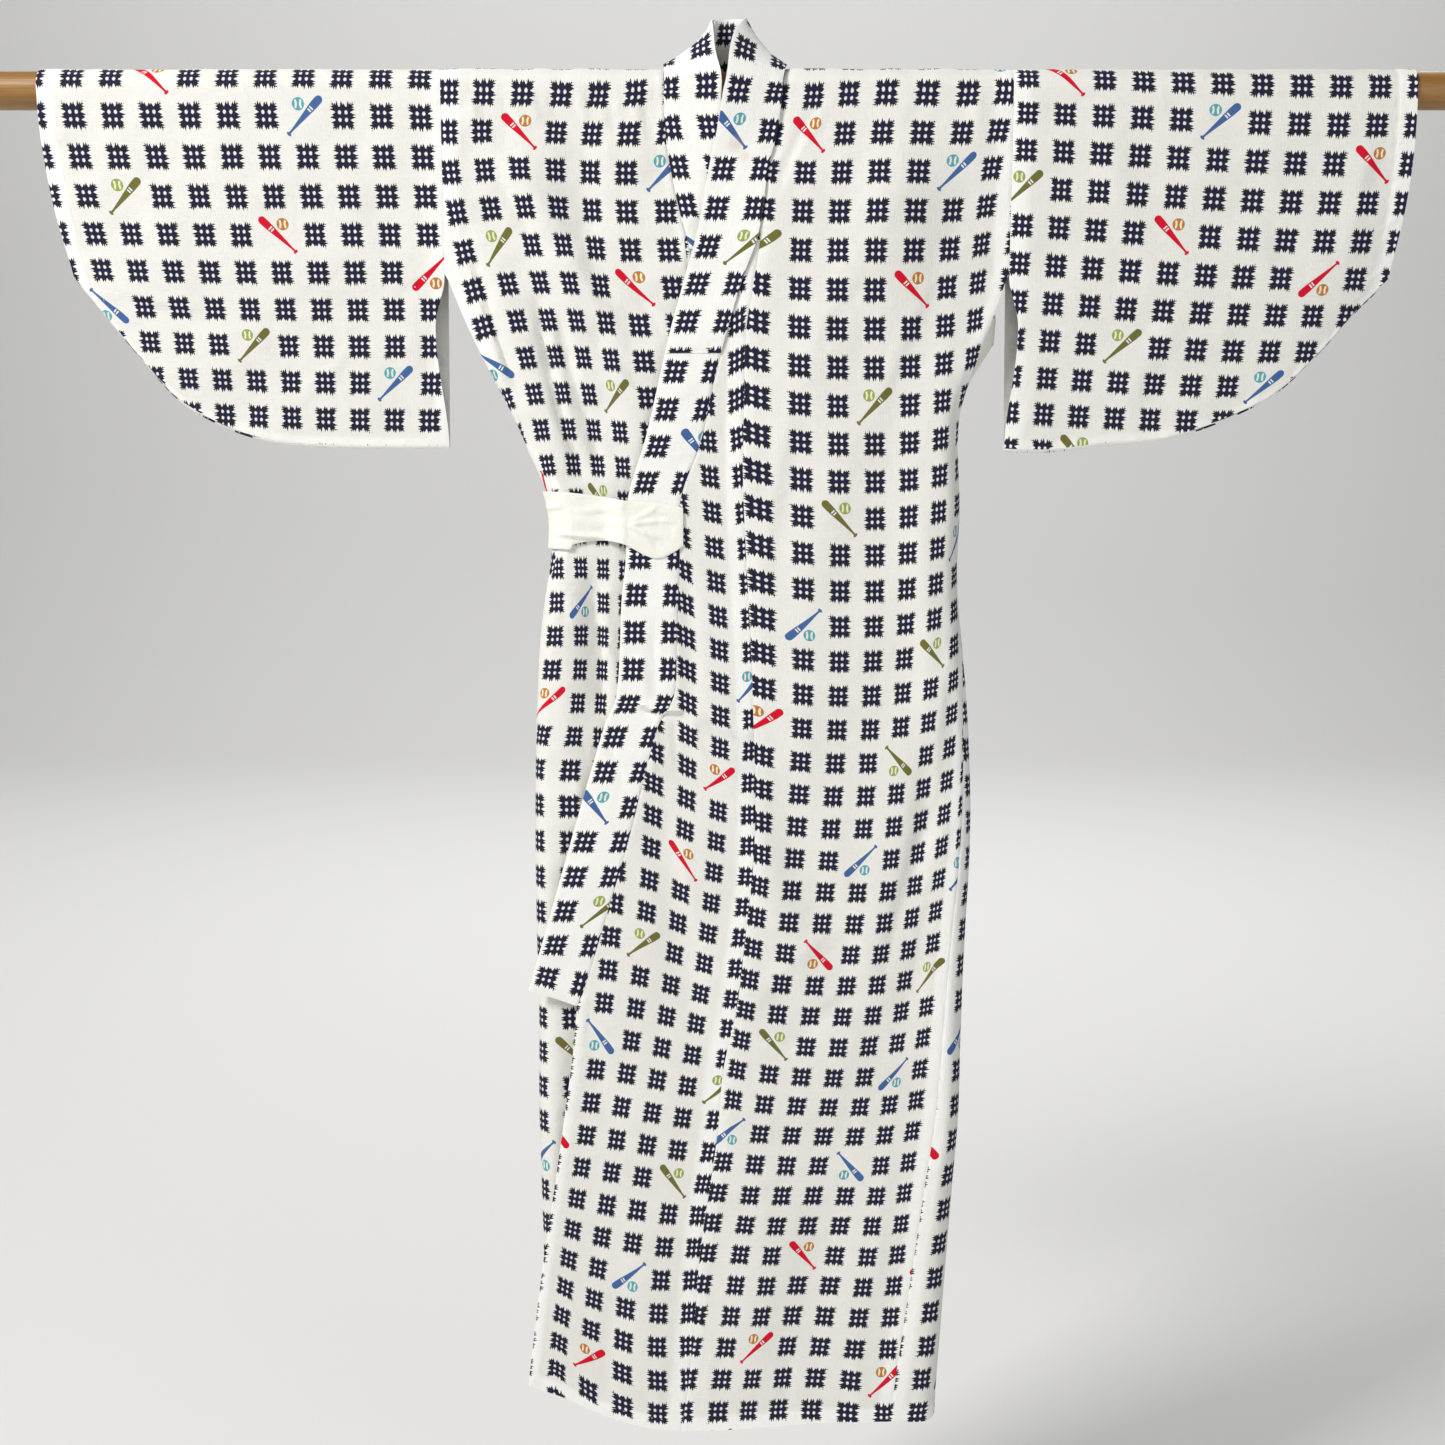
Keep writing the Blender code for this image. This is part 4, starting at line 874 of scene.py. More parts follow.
def printed_cotton():
    """White cotton with a woven indigo mark in every cell, and a bat with a
    ball in one cell of thirteen."""
    mat, tree, shader = cloth_shader("printed_cotton")
    coords = tree.nodes.new("ShaderNodeUVMap")
    coords.uv_map = "UVMap"
    place = coords.outputs[0]
    split = tree.nodes.new("ShaderNodeSeparateXYZ")
    tree.links.new(place, split.inputs[0])
    u, v = Term(split.outputs[0]), Term(split.outputs[1])
    bleed_u = (noise(tree, place, 42.0, 1.0) - 0.5) * 0.9
    bleed_v = (noise(tree, place, 37.0, 1.0) - 0.5) * 0.9
    iu, iv = Term.op("ROUND", u), Term.op("ROUND", v)
    a0, b0 = (u - iu) * CELL, (v - iv) * CELL
    a, b = a0 + bleed_u, b0 + bleed_v
    aa, ab = abs(a), abs(b)

    # The mark: a dark square with four holes and jagged ends of thread
    hx = (aa - HOLE_PLACE[0]) / HOLE_SIZE[0]
    hy = (ab - HOLE_PLACE[1]) / HOLE_SIZE[1]
    hole = inside(root(hx * hx + hy * hy) - 1.0, 0.4)

    def jagged(across, out, pitch, gap, seed):
        """How far the thread ends reach, across the mark's side."""
        k = Term.op("FLOOR", across / pitch)
        part = Term.op("FRACT", across / pitch)
        spike = 1.0 - abs(part * 2.0 - 1.0)
        tooth = inside(abs(abs(across) - gap) - 0.7, 0.7)
        luck = chance(tree, iu * 17.0 + k, iv * 13.0 + seed, Term.op("SIGN", out))
        return tooth * (spike * (1.2 + 1.9 * luck) + 0.4 * luck + 0.5) - (1.0 - tooth) * 0.7

    top = MARK_HALF[1] + jagged(a, b, THREAD_PITCH[0], THREAD_GAP[0], 3.0)
    side = MARK_HALF[0] + jagged(b, a, THREAD_PITCH[1], THREAD_GAP[1], 8.0)
    mark = inside(top - ab, 0.5) * inside(side - aa, 0.5) * hole

    # One cell of thirteen holds a bat and a ball instead
    chosen = Term.op("FLOORED_MODULO", iu * 2.0 + iv * 5.0 + 4.0, 13.0)
    toy = Term.op("LESS_THAN", chosen, 0.5)
    luck, turn, flip = chance(tree, iu, iv, 1.0), chance(tree, iu, iv, 2.0), chance(tree, iu, iv, 5.0)
    s = Term.op("GREATER_THAN", turn, 0.5) * 2.0 - 1.0
    f = Term.op("GREATER_THAN", flip, 0.5) * 2.0 - 1.0
    t = (a0 * s + b0) * f * SLANT
    w = (b0 - a0 * s) * f * SLANT
    aw = abs(w)
    grow = Term.op("SMOOTH_MIN", larger((t + 15.0) / 27.0, 0.0), 1.0, 0.2)
    half = 0.9 + 2.45 * grow
    past = larger(t - BAT_SHOULDER, 0.0)
    cap = root(BAT_RADIUS**2 - past * past)
    barrel = inside(smaller(half, cap) - aw, 0.4) * inside(t + 19.6, 0.4)
    kx, ky = (t - BAT_KNOB) / 1.25, w / 2.15
    knob = inside(1.0 - root(kx * kx + ky * ky), 0.35)
    bands = inside(0.6 - abs(abs(t - BAT_BANDS) - 1.15), 0.3) * inside(half * 0.62 - aw, 0.3)
    bat = larger(barrel, knob) * (1.0 - bands) * toy
    bx, by = t - BALL_PLACE[0], w - BALL_PLACE[1]
    r = root(bx * bx + by * by)
    ball = inside(BALL_RADIUS - r, 0.4) * toy
    px = abs(a0 - (BALL_PLACE[0] - BALL_PLACE[1]) * SLANT * s * f)
    py = b0 - (BALL_PLACE[0] + BALL_PLACE[1]) * SLANT * f
    seam = px - py * py * 0.07
    cream = inside(0.85 - abs(seam - 1.75), 0.35) * inside(4.0 - r, 0.35) * toy
    red = Term.op("LESS_THAN", luck, 0.34)
    blue = Term.op("LESS_THAN", luck, 0.68)
    bat_colour = blend(tree, red, blend(tree, blue, BAT_OLIVE, BAT_BLUE), BAT_RED)
    ball_colour = blend(tree, red, blend(tree, blue, BALL_GREEN, BALL_BLUE), BALL_ORANGE)

    # Cloth: slubs both ways, and whiter where it is doubled
    slub_u = noise(tree, stretched(tree, place, (2.2, 52.0, 1.0)), 1.0, 2.0)
    slub_v = noise(tree, stretched(tree, place, (48.0, 2.0, 1.0)), 1.0, 2.0)
    slub = slub_u + slub_v - 1.0
    shared = tree.nodes.new("ShaderNodeAttribute")
    shared.attribute_name = "doubled"
    doubled = Term(shared.outputs["Fac"])
    ground = blend(tree, smaller(larger(doubled, 0.0), 1.0), SINGLE_WHITE, DOUBLED_WHITE)
    shaded = blend(tree, inside(slub, 0.9) * 0.6, ground, SLUB_WHITE)
    deep = inside(5.0 - (aa + ab) * 0.6, 6.0)
    navy = blend(tree, deep, NAVY_EDGE, NAVY_MIDDLE)
    face = inside(doubled + 0.5, 0.4) * 0.93 + 0.07
    fade = mark * (1.0 - toy) * (0.985 + 0.015 * inside(slub, 0.6)) * face
    colour = blend(tree, fade, shaded, navy)
    colour = blend(tree, bat * face, colour, bat_colour)
    colour = blend(tree, ball * face, colour, ball_colour)
    colour = blend(tree, cream, colour, BALL_CREAM)

    # Two faint old stains on the collar's cover
    body_place = tree.nodes.new("ShaderNodeTexCoord").outputs["Object"]
    for spot, reach, tint, strength in STAINS:
        apart = tree.nodes.new("ShaderNodeVectorMath")
        apart.operation = "DISTANCE"
        tree.links.new(body_place, apart.inputs[0])
        apart.inputs[1].default_value = [v * 0.001 for v in spot]
        wet = inside(1.0 - Term(apart.outputs["Value"]) * (1000 / reach), 0.9)
        colour = blend(tree, wet * (0.4 + noise(tree, place, 6.0)) * strength, colour, tint)
    tree.links.new(colour, shader.inputs["Base Color"])
    crumple = noise(tree, place, 1.6, 3.0, 0.55)
    weave_bump(tree, shader, slub * 0.35 + crumple * 1.2, 0.0009)
    return mat


def ivory_cotton():
    mat, tree, shader = cloth_shader("ivory_cotton", 0.8)
    coords = tree.nodes.new("ShaderNodeTexCoord")
    place = coords.outputs["Object"]
    slub = (noise(tree, stretched(tree, place, (1700.0, 300.0, 160.0)), 1.0)
            + noise(tree, stretched(tree, place, (160.0, 300.0, 1700.0)), 1.0) - 1.0)
    colour = blend(tree, inside(slub, 0.9), IVORY_DARK, IVORY_LIGHT)
    tree.links.new(colour, shader.inputs["Base Color"])
    weave_bump(tree, shader, slub * 0.3 + noise(tree, place, 70.0, 3.0) * 1.3, 0.0008)
    return mat


def rod_wood():
    mat = bpy.data.materials.new("rod_oak")
    mat.use_nodes = True
    tree = mat.node_tree
    shader = tree.nodes["Principled BSDF"]
    shader.inputs["Roughness"].default_value = 0.42
    shader.inputs["Coat Weight"].default_value = 0.15
    shader.inputs["Coat Roughness"].default_value = 0.3
    Term.tree = tree
    place = tree.nodes.new("ShaderNodeTexCoord").outputs["Object"]
    grain = noise(tree, stretched(tree, place, (6.0, 260.0, 260.0)), 1.0, 4.0, 0.6)
    pores = noise(tree, stretched(tree, place, (30.0, 900.0, 900.0)), 1.0, 2.0)
    tone = blend(tree, grain, OAK_DARK, OAK_LIGHT)
    tone = blend(tree, inside(pores - 0.62, 0.2) * 0.5, tone, OAK_PORE)
    tree.links.new(tone, shader.inputs["Base Color"])
    weave_bump(tree, shader, grain * 0.5 - pores * 0.3, 0.0004)
    return mat


def plain(name, colour, roughness):
    mat = bpy.data.materials.new(name)
    mat.use_nodes = True
    shader = mat.node_tree.nodes["Principled BSDF"]
    shader.inputs["Base Color"].default_value = (*colour, 1)
    shader.inputs["Roughness"].default_value = roughness
    return mat


COTTON = printed_cotton()
IVORY = ivory_cotton()
OAK = rod_wood()
THREAD = plain("white_thread", THREAD_WHITE, 0.7)


# Stitches

def row_of_stitches(q, n, pitch):
    """Places, directions and outward normals along one line of a grid."""
    run = length_along(q)
    at = np.arange(pitch, run[-1] - pitch / 2, pitch)
    spots = np.stack([np.interp(at, run, q[:, k]) for k in range(3)], -1)
    outs = np.stack([np.interp(at, run, n[:, k]) for k in range(3)], -1)
    outs /= np.linalg.norm(outs, axis=-1, keepdims=True)
    ahead = np.stack([np.interp(at + 1, run, q[:, k]) for k in range(3)], -1) - spots
    ahead /= np.maximum(np.linalg.norm(ahead, axis=-1, keepdims=True), 1e-6)
    return spots + outs * CLOTH / 2, ahead, outs


def stitches(name, rows):
    """Short raised stitches along the given lines of a grid."""
    verts, faces = [], []
    for c, way, out in (one for q, n, pitch in rows for one in zip(*row_of_stitches(q, n, pitch))):
        side = np.cross(way, out)
        base = len(verts)
        for a, k in ((-1.0, 0.35), (-0.45, 1.0), (0.45, 1.0), (1.0, 0.35)):
            for s, h in ((-1, -0.2), (0, 1.0), (1, -0.2)):
                spot = c + way * a * 0.8 + side * s * 0.3 * k + out * (0.26 * h * k - 0.06)
                verts.append(tuple(spot * 0.001))
        for r in range(3):
            for q in range(2):
                o = base + r * 3 + q
                faces.append((o, o + 1, o + 4, o + 3))
    mesh = bpy.data.meshes.new(name)
    mesh.from_pydata(verts, [], faces)
    return finish_piece(name, mesh, THREAD)


def line_near(values, at):
    """The grid line nearest to a value."""
    return int(np.argmin(np.abs(np.asarray(values) - at)))


# Panels

def body_panel(side):
    """Front, shoulder and back of one length of cloth."""
    name = "body_left" if side > 0 else "body_right"
    half = SEAM_GAP / 2
    share = spread(*BODY_LINES)[None, :]
    z_front = rows_from_hem(-3, FRONT_ROWS)
    z_back = np.concatenate([np.linspace(-3, HEM_Z + 6, BACK_ROWS), [HEM_Z + 3, HEM_Z + 1.2, HEM_Z]])
    angles = np.linspace(0, 180, 19)

    z = z_front[:, None]
    first = seam_along(side, z) + half
    start, _, _, length = ring(side, z)
    last = length + start - side * (front_edge(side, z) + side * half)
    d = mix(first, last, share)
    front, flat_x = on_body(side, -1, z, d)
    u_front, v_front = print_place(name, flat_x, front[..., 2])

    # Over the rod, round the neck
    neck = NECK if side > 0 else [(NECK_END - row[0], *row[1:]) for row in NECK]
    near_half = [(a, x) for a, x, *_ in neck if a <= NECK_MIDDLE]
    seam_x = curve(near_half, np.minimum(angles, NECK_MIDDLE))
    seam_x = np.where(angles > NECK_MIDDLE, CENTRE_BACK_X, seam_x)
    gap = np.where(angles > NECK_MIDDLE, half, 0.0)
    last_rod = ARMHOLE_X - side * seam_x - gap
    d_rod = mix(half, last_rod[:, None], share)
    x_rod = side * (ARMHOLE_X - d_rod)
    turn = np.radians(angles)[:, None]
    swell = 0.45 * (1 + np.sin(x_rod / 9.0 + 1.7 * np.sin(x_rod / 23.0)))
    swell = swell * np.sin(turn) * step(228, 215, np.abs(x_rod))
    radius = OVER_ROD + swell
    rod = np.stack([x_rod, -radius * np.cos(turn), radius * np.sin(turn)], -1)

    zb = z_back[:, None]
    first_b = half - seam_along(side, zb)
    start_b, _, _, length_b = ring(side, zb)
    last_b = length_b + start_b - side * CENTRE_BACK_X - half
    d_b = mix(first_b, last_b, share)
    back, flat_b = on_body(side, 1, zb, d_b)

    # Print on the shoulder and back runs straight on from the front's top
    lo, hi = TOP_PRINT[side]
    u_lo, v_lo = print_place(name, np.array(lo), np.array(-4.0))
    u_hi, v_hi = print_place(name, np.array(hi), np.array(-4.0))

    def top(x):
        t = (x - lo) / (hi - lo)
        return mix(u_lo, u_hi, t), mix(v_lo, v_hi, t)

    u_r, v_r = print_place(name, x_rod, 0.0 * x_rod - 1.0)
    u_t, v_t = top(x_rod)
    ease = step(0, 90, angles)[:, None]
    u_rod = mix(u_r, u_t, ease)
    v_rod = mix(v_r, v_t, ease) - OVER_ROD * turn / CELL
    u_back, v_t = top(flat_b)
    v_back = v_t - (OVER_ROD * math.pi - back[..., 2]) / CELL

    p = np.concatenate([front, rod, back])
    u = np.concatenate([u_front, u_rod, u_back])
    v = np.concatenate([v_front, v_rod, v_back])
    d_all = np.concatenate([d - first, d_rod, d_b - first_b])
    wide = np.concatenate([last - first, last_rod[:, None], last_b - first_b])
    run = np.concatenate([z_front, 16.1 * np.radians(angles), 60 - z_back])[:, None]
    outward, out = facing_out(p, 120, 30)
    from_in = wide - d_all
    relief = seam_roll(d_all) + puckers(d_all, run, 11 + side)
    relief = relief + seam_roll(from_in) + puckers(from_in, run + 40, 21 + side)
    hem = np.concatenate([z_front - HEM_Z, 0 * angles + 999, z_back - HEM_Z])[:, None]
    relief = relief + hem_relief(hem) + puckers(np.abs(hem - 12), d_all, 31)
    p = p + outward * relief[..., None]

    # Doubled cloth: armhole, side seam, hem, and the centre back's allowance
    zs = np.concatenate([z_front, 0 * angles, z_back])[:, None]
    arm = step(15, 11, d_all) * step(-160, -150, zs)
    seam = step(12, 9, d_all) * step(-150, -160, zs) * 0.9
    show = np.concatenate([0 * z_front + 0.5, 0 * angles + 0.4, 0 * z_back + 1.0])[:, None]
    inner = step(9, 6, from_in) * show
    doubled = widest(arm, seam, inner, step(12.5, 11.5, hem))
    obj = shell("cloth_" + name, p, (u, v), doubled, CLOTH, out)
    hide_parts(name)
    outward, _ = facing_out(p, 120, 30)
    low = line_near(hem[:, 0], HEM_STITCHES)
    behind = len(hem) - 1 - line_near(hem[::-1, 0], HEM_STITCHES)
    stitches("stitches_" + name, [(p[k, 2:-2], outward[k, 2:-2], HEM_PITCH) for k in (low, behind)])
    return obj


def lap_panel(side):
    """The overlap strip between a front panel and its collar or free edge."""
    name = "okumi_left" if side > 0 else "okumi_right"
    seam = OUTER_OKUMI_SEAM if side > 0 else UNDER_OKUMI_SEAM
    collar = OUTER_COLLAR_SEAM if side > 0 else UNDER_COLLAR_SEAM
    edge = OUTER_OKUMI_EDGE if side > 0 else UNDER_OKUMI_EDGE
    rises = OUTER_HEM if side > 0 else INNER_HEM
    half = side * SEAM_GAP / 2
    z = rows_from_hem(OKUMI_TOP, LAP_ROWS)[:, None]
    share = spread(*LAP_LINES)[None, :]
    x_in = curve(seam, z) - half
    x_out = np.where(z > -750, curve(collar, z), curve(edge, z)) + half
    x = mix(x_in, x_out, share)
    zz = np.broadcast_to(z, x.shape)
    p = np.stack([x, front_y(side, x, zz), hem_rise(rises, x, zz)], -1)
    if side > 0:
        u, v = print_place(name, x, p[..., 2])
    else:
        u, v = x / CELL + 0.3, -p[..., 2] / CELL
    d_in, d_out = np.abs(x - x_in), np.abs(x_out - x)
    free = step(-748, -752, z)
    outward, out = facing_out(p, 120, 15)
    hem = z - HEM_Z
    relief = (seam_roll(d_in) + seam_roll(d_out) + puckers(d_in, zz, 41) + puckers(d_out, zz, 43)
              + 0.3 * step(9.5, 8.3, d_out) * free - 0.45 * bell(d_out - LAP_TURN, 0.9) * free
              + hem_relief(hem) + puckers(np.abs(hem - 12), x, 45)
              + puckers(np.abs(d_out - 9), zz, 47) * free)
    p = p + outward * relief[..., None]
    band = step(16, 12, d_in) * step(-130, -150, z)
    doubled = widest(band, step(9, 8, d_out) * free, step(12.5, 11.5, hem))
    obj = shell("cloth_" + name, p, (u, v), doubled, CLOTH, out)
    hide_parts(name)
    outward, _ = facing_out(p, 120, 15)
    low, edge_line = line_near(hem[:, 0], HEM_STITCHES), line_near(d_out[10], LAP_STITCHES)
    free_rows = slice(low, line_near(z[:, 0], -760))
    stitches("stitches_" + name, [
        (p[low, 2:-2], outward[low, 2:-2], HEM_PITCH),
        (p[free_rows, edge_line], outward[free_rows, edge_line], LAP_PITCH),
    ])
    return obj


def collar_form(lowest, drop=True):
    """The collar from one lap's end, round the neck, to the other's."""
    t = np.linspace(0, 1, COLLAR_COLUMNS)
    t = 0.5 * t + 0.5 * (0.5 - 0.5 * np.cos(np.pi * t))

    def lap(side, z):
        z = z[:, None]
        low = COLLAR_END_DROP * step(-700, -745, z) * (1 - t) if drop else 0 * t
        zz = z - low
        seam = curve(OUTER_COLLAR_SEAM if side > 0 else UNDER_COLLAR_SEAM, zz) - side * SEAM_GAP / 2
        edge = curve(OUTER_COLLAR_EDGE if side > 0 else UNDER_COLLAR_EDGE, zz)
        x = mix(seam, edge, t)
        y = front_y(side, x, zz)
        lift = step(-120, -34, zz)
        y = mix(y, mix(y[:, :1], COLLAR_LEVELS[side], t), lift)
        rises = OUTER_HEM if side > 0 else INNER_HEM
        return np.stack([x, y, hem_rise(rises, x, zz)], -1)

    z = np.linspace(lowest, -4, int(-lowest / 3.2))
    path = np.linspace(0, NECK_END, 84)
    angle = np.radians(np.where(path > NECK_MIDDLE, NECK_END - path, path))
    seam_x, edge_x, edge_y, edge_z = (curve(NECK, path, k) for k in (1, 2, 3, 4))
    reach = OVER_ROD + 0.7
    seam = np.stack([seam_x, -reach * np.cos(angle), reach * np.sin(angle)], -1)
    edge = np.stack([edge_x, edge_y, edge_z], -1)
    line = edge - seam
    start = seam + line / np.linalg.norm(line, axis=-1, keepdims=True) * 1.1
    neck = mix(start[:, None, :], edge[:, None, :], t[None, :, None])
    return np.concatenate([lap(1, z), neck, lap(-1, z[::-1])]), t


def collar_print(p, u_shift, v_shift):
    """Cells along and across the folded strip."""
    middle = p[:, p.shape[1] // 2]
    run = length_along(middle)
    width = np.linalg.norm(p[:, -1] - p[:, 0], axis=-1)
    across = np.linspace(0, 1, p.shape[1])[None, :]
    from_edge = np.linalg.norm(p - p[:, -1:], axis=-1)
    u = -(from_edge - u_shift) / CELL
    v = -(run[:, None] + v_shift + 0 * across) / CELL
    return u, v, run, width


def collar_piece():
    p, t = collar_form(COLLAR_END)
    u, v, run, width = collar_print(p, 12.0, 14.0)
    outward, _ = facing_out(p, 60, 10)
    d_seam = t[None, :] * width[:, None]
    d_edge = (1 - t[None, :]) * width[:, None]
    relief = 0.8 * seam_roll(d_seam) + puckers(d_seam, run[:, None], 51) * 1.3
    p = p + outward * relief[..., None]
    wall = COLLAR_WALL - 1.3 * bell(d_edge, 1.3) - 1.0 * bell(d_seam, 1.2)
    ends = np.minimum(run, run[-1] - run)[:, None]
    wall = wall - 0.9 * bell(ends, 1.6)
    wall = np.clip(wall, 0.5, None) - 0.05
    obj = shell("cloth_collar", p, (u, v), 0.75, wall)
    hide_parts("collar")
    return obj


def over_collar_piece():
    p, t = collar_form(OVER_COLLAR_END, drop=False)
    u, v, run, width = collar_print(p, 12.0, 5.0)
    outward, _ = facing_out(p, 30, 10)
    ease = mix(0.4, 1.5, step(-60, 0, p[..., 2]))
    d_seam, d_edge = t[None, :] * width[:, None], (1 - t[None, :]) * width[:, None]
    ends = np.minimum(run, run[-1] - run)[:, None]
    lift = COLLAR_WALL / 2 + mix(0.22, 0.5 + ease, step(0, 9, ends))
    relief = puckers(d_seam, run[:, None], 61) + puckers(ends, 3 * d_seam, 63)
    relief = relief + 0.12 * np.sin(run[:, None] / 11.0)
    p = p + outward * (lift + relief)[..., None]
    thinner = bell(d_edge, 1.2) + bell(d_seam, 1.2)
    wall = 0.95 - 0.45 * thinner - 0.4 * bell(ends, 1.5)
    obj = shell("cloth_over_collar", p, (u, v), 0.9, wall)
    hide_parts("over_collar")
    outward, _ = facing_out(p, 30, 10)
    face = p + outward * 0.15
    rows = [(face[k, 2:-2], outward[k, 2:-2], COVER_PITCH) for k in (1, -2)]
    stitches("stitches_over_collar", rows)
    return obj


def sleeve_panel(side):
    """A sleeve folded over the rod, closed along its foot."""
    name = "sleeve_left" if side > 0 else "sleeve_right"
    feet = LEFT_SLEEVE_FOOT if side > 0 else RIGHT_SLEEVE_FOOT
    creases = LEFT_SLEEVE_CREASES if side > 0 else RIGHT_SLEEVE_CREASES
    last = len(feet) - 1
    s = np.concatenate([[0, 0.05, 0.12, 0.24, 0.42], np.linspace(0.7, last - 0.14, 74),
                        [last - 0.07, last - 0.03, last]])
    at = [(k * 1.0, f[0], f[1]) for k, f in enumerate(feet)]
    foot_x, foot_z = curve(at, s, 1), curve(at, s, 2)
    cuff = (1 - s / last) ** 2
    top_x = mix(foot_x, side * CUFF_X, cuff)
    inner = side * (ARMHOLE_X + SEAM_GAP / 2)
    close = step(last - 0.6, last, s)
    foot_x, top_x = mix(foot_x, inner, close), mix(top_x, inner, close)
    bow = CUFF_BOW * cuff

    down = np.concatenate([[0, 0.006, 0.015, 0.03, 0.05], np.linspace(0.075, 1, 54)])
    z_half = mix(foot_z[:, None] + FOOT_RADIUS, 0.0, down[None, :])
    y_half = sleeve_depth(z_half, foot_z[:, None])
    turn = np.radians(np.linspace(0, 180, 15))[1:-1]
    rod_y = np.broadcast_to(-OVER_ROD * np.cos(turn), (len(s), len(turn)))
    rod_z = np.broadcast_to(OVER_ROD * np.sin(turn), (len(s), len(turn)))
    low_turn = np.radians(np.linspace(180, 360, 9))[1:-1]
    low_y = np.broadcast_to(-FOOT_RADIUS * np.cos(low_turn), (len(s), len(low_turn)))
    low_z = foot_z[:, None] + FOOT_RADIUS + FOOT_RADIUS * np.sin(low_turn)
    y = np.concatenate([-y_half, rod_y, y_half[:, ::-1], low_y], 1)
    z = np.concatenate([z_half, rod_z, z_half[:, ::-1], low_z], 1)
    t = np.clip(z / foot_z[:, None], 0, 1)
    x = mix(top_x[:, None], foot_x[:, None], t) + side * bow[:, None] * np.sin(np.pi * t)
    m = y.shape[1]
    n_half = len(down)
    is_front = (np.arange(m) < n_half + 6)[None, :]

    # Below the armhole the front edge bows away and shows the back's inside
    open_part = np.clip((ARMHOLE_Z - z) / (ARMHOLE_Z + 286), 0, 1)
    bowed = SLEEVE_OPEN_BOW * step(0, 0.3, open_part) * step(1, 0.34, open_part)
    x = x + side * bowed * step(90, 0, np.abs(x - inner)) * (np.arange(m) < n_half)[None, :]
    p = np.stack([x, y, z], -1)

    # Where the cloth lies, then its creases, gathers and seams
    gone = length_along(p[40])
    outward, out = facing_out(p, 40, 20, True)
    to_foot = np.where(z < 0, z - foot_z[:, None], 60.0)
    to_arm = np.abs(x - inner)
    row_gap = np.abs(x - x[:1])
    to_cuff = row_gap * step(0.0, 0.2, s)[:, None]
    flat = step(2, 12, to_foot) * step(1, 14, to_arm) * step(0, -20, z)
    behind_waves = -folds(creases, -side * 770 - x, z)
    wave = np.where(is_front, folds(creases, x, z), behind_waves) + ripple(x, z, 70 + side)
    rounded = step(side * 300, side * 420, x)
    around = np.concatenate([[0], np.cumsum(np.hypot(np.diff(foot_x), np.diff(foot_z)))])[:, None]
    near_foot = bell(to_foot, 9.0) * step(1.0, 4.0, to_foot) * (0.4 + rounded)
    rim = 0.28 * (np.sin(around / 2.3) + np.sin(around / 3.9 + 1.0)) * near_foot
    swell = 0.2 * (1 + np.sin(x / 8.0 + 2 * np.sin(x / 21.0))) * step(-2, 8, z) * step(1, 12, to_arm)
    relief = wave * flat + rim + swell + seam_roll(to_arm) + puckers(to_arm, gone[None, :], 81)
    band = step(15.5, 14.3, to_cuff)
    relief = relief + 0.3 * band - 0.4 * bell(to_cuff - CUFF_TURN, 0.9)
    relief = relief + puckers(np.abs(to_cuff - 15), gone[None, :], 83)
    p = p + outward * relief[..., None]

    # Print: straight from the front, over the rod, and down the back
    u, v = print_place(name, x, np.minimum(z, 0.0))
    u_top, v_top = print_place(name, x, 0.0 * x)
    arc = np.concatenate([0 * down, turn, 0 * down + math.pi, 0 * low_turn + math.pi])[None, :]
    behind = (np.arange(m) >= n_half)[None, :]
    depth = np.where(arc >= math.pi, -np.minimum(z, 0.0), 0.0)
    v = np.where(behind, v_top - (OVER_ROD * arc + depth) / CELL, v)
    u = np.where(behind, u_top, u)
    u = np.concatenate([u, u[:, :1]], 1)
    v = np.concatenate([v, v[:, -1:] - 0.03], 1)
    doubled = widest(band * 0.9, step(13, 10, to_arm), 0.7 * step(9, 7, to_foot))
    obj = shell("cloth_" + name, p, (u, v), doubled, CLOTH, out, closed=True)
    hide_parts(name)
    outward, _ = facing_out(p, 40, 20, True)
    k = line_near(to_cuff[:, n_half - 6], CUFF_STITCHES)
    line = np.arange(4, 2 * n_half + 8)
    stitches("stitches_" + name, [(p[k, line], outward[k, line], CUFF_PITCH)])
    return obj


# Ties

def smooth_grid(p, along, across):
    """The same surface with more points, through the given ones."""
    def more(q, count):
        at = np.linspace(0, q.shape[0] - 1, (q.shape[0] - 1) * count + 1)
        i = np.clip(np.floor(at).astype(int), 0, q.shape[0] - 2)
        t = (at - i).reshape(-1, *([1] * (q.ndim - 1)))
        lo, hi = np.maximum(i - 1, 0), np.minimum(i + 2, q.shape[0] - 1)
        a, b, c, d = q[lo], q[i], q[i + 1], q[hi]
        return (b + 0.5 * t * (c - a + t * (2 * a - 5 * b + 4 * c - d + t * (3 * (b - c) + d - a))))
    p = more(p, along)
    return more(p.transpose(1, 0, 2), across).transpose(1, 0, 2)


def tie_y(x, z):
    on_collar = outer_y(x, z) - COLLAR_WALL / 2 - SEAM_GAP - TIE_WALL / 2
    on_under = under_y(x, z) - 0.5 - 0.9 - TIE_WALL / 2 - 0.8 * step(-100, -128, x)
    return mix(on_collar, on_under, step(-88, -99, x))


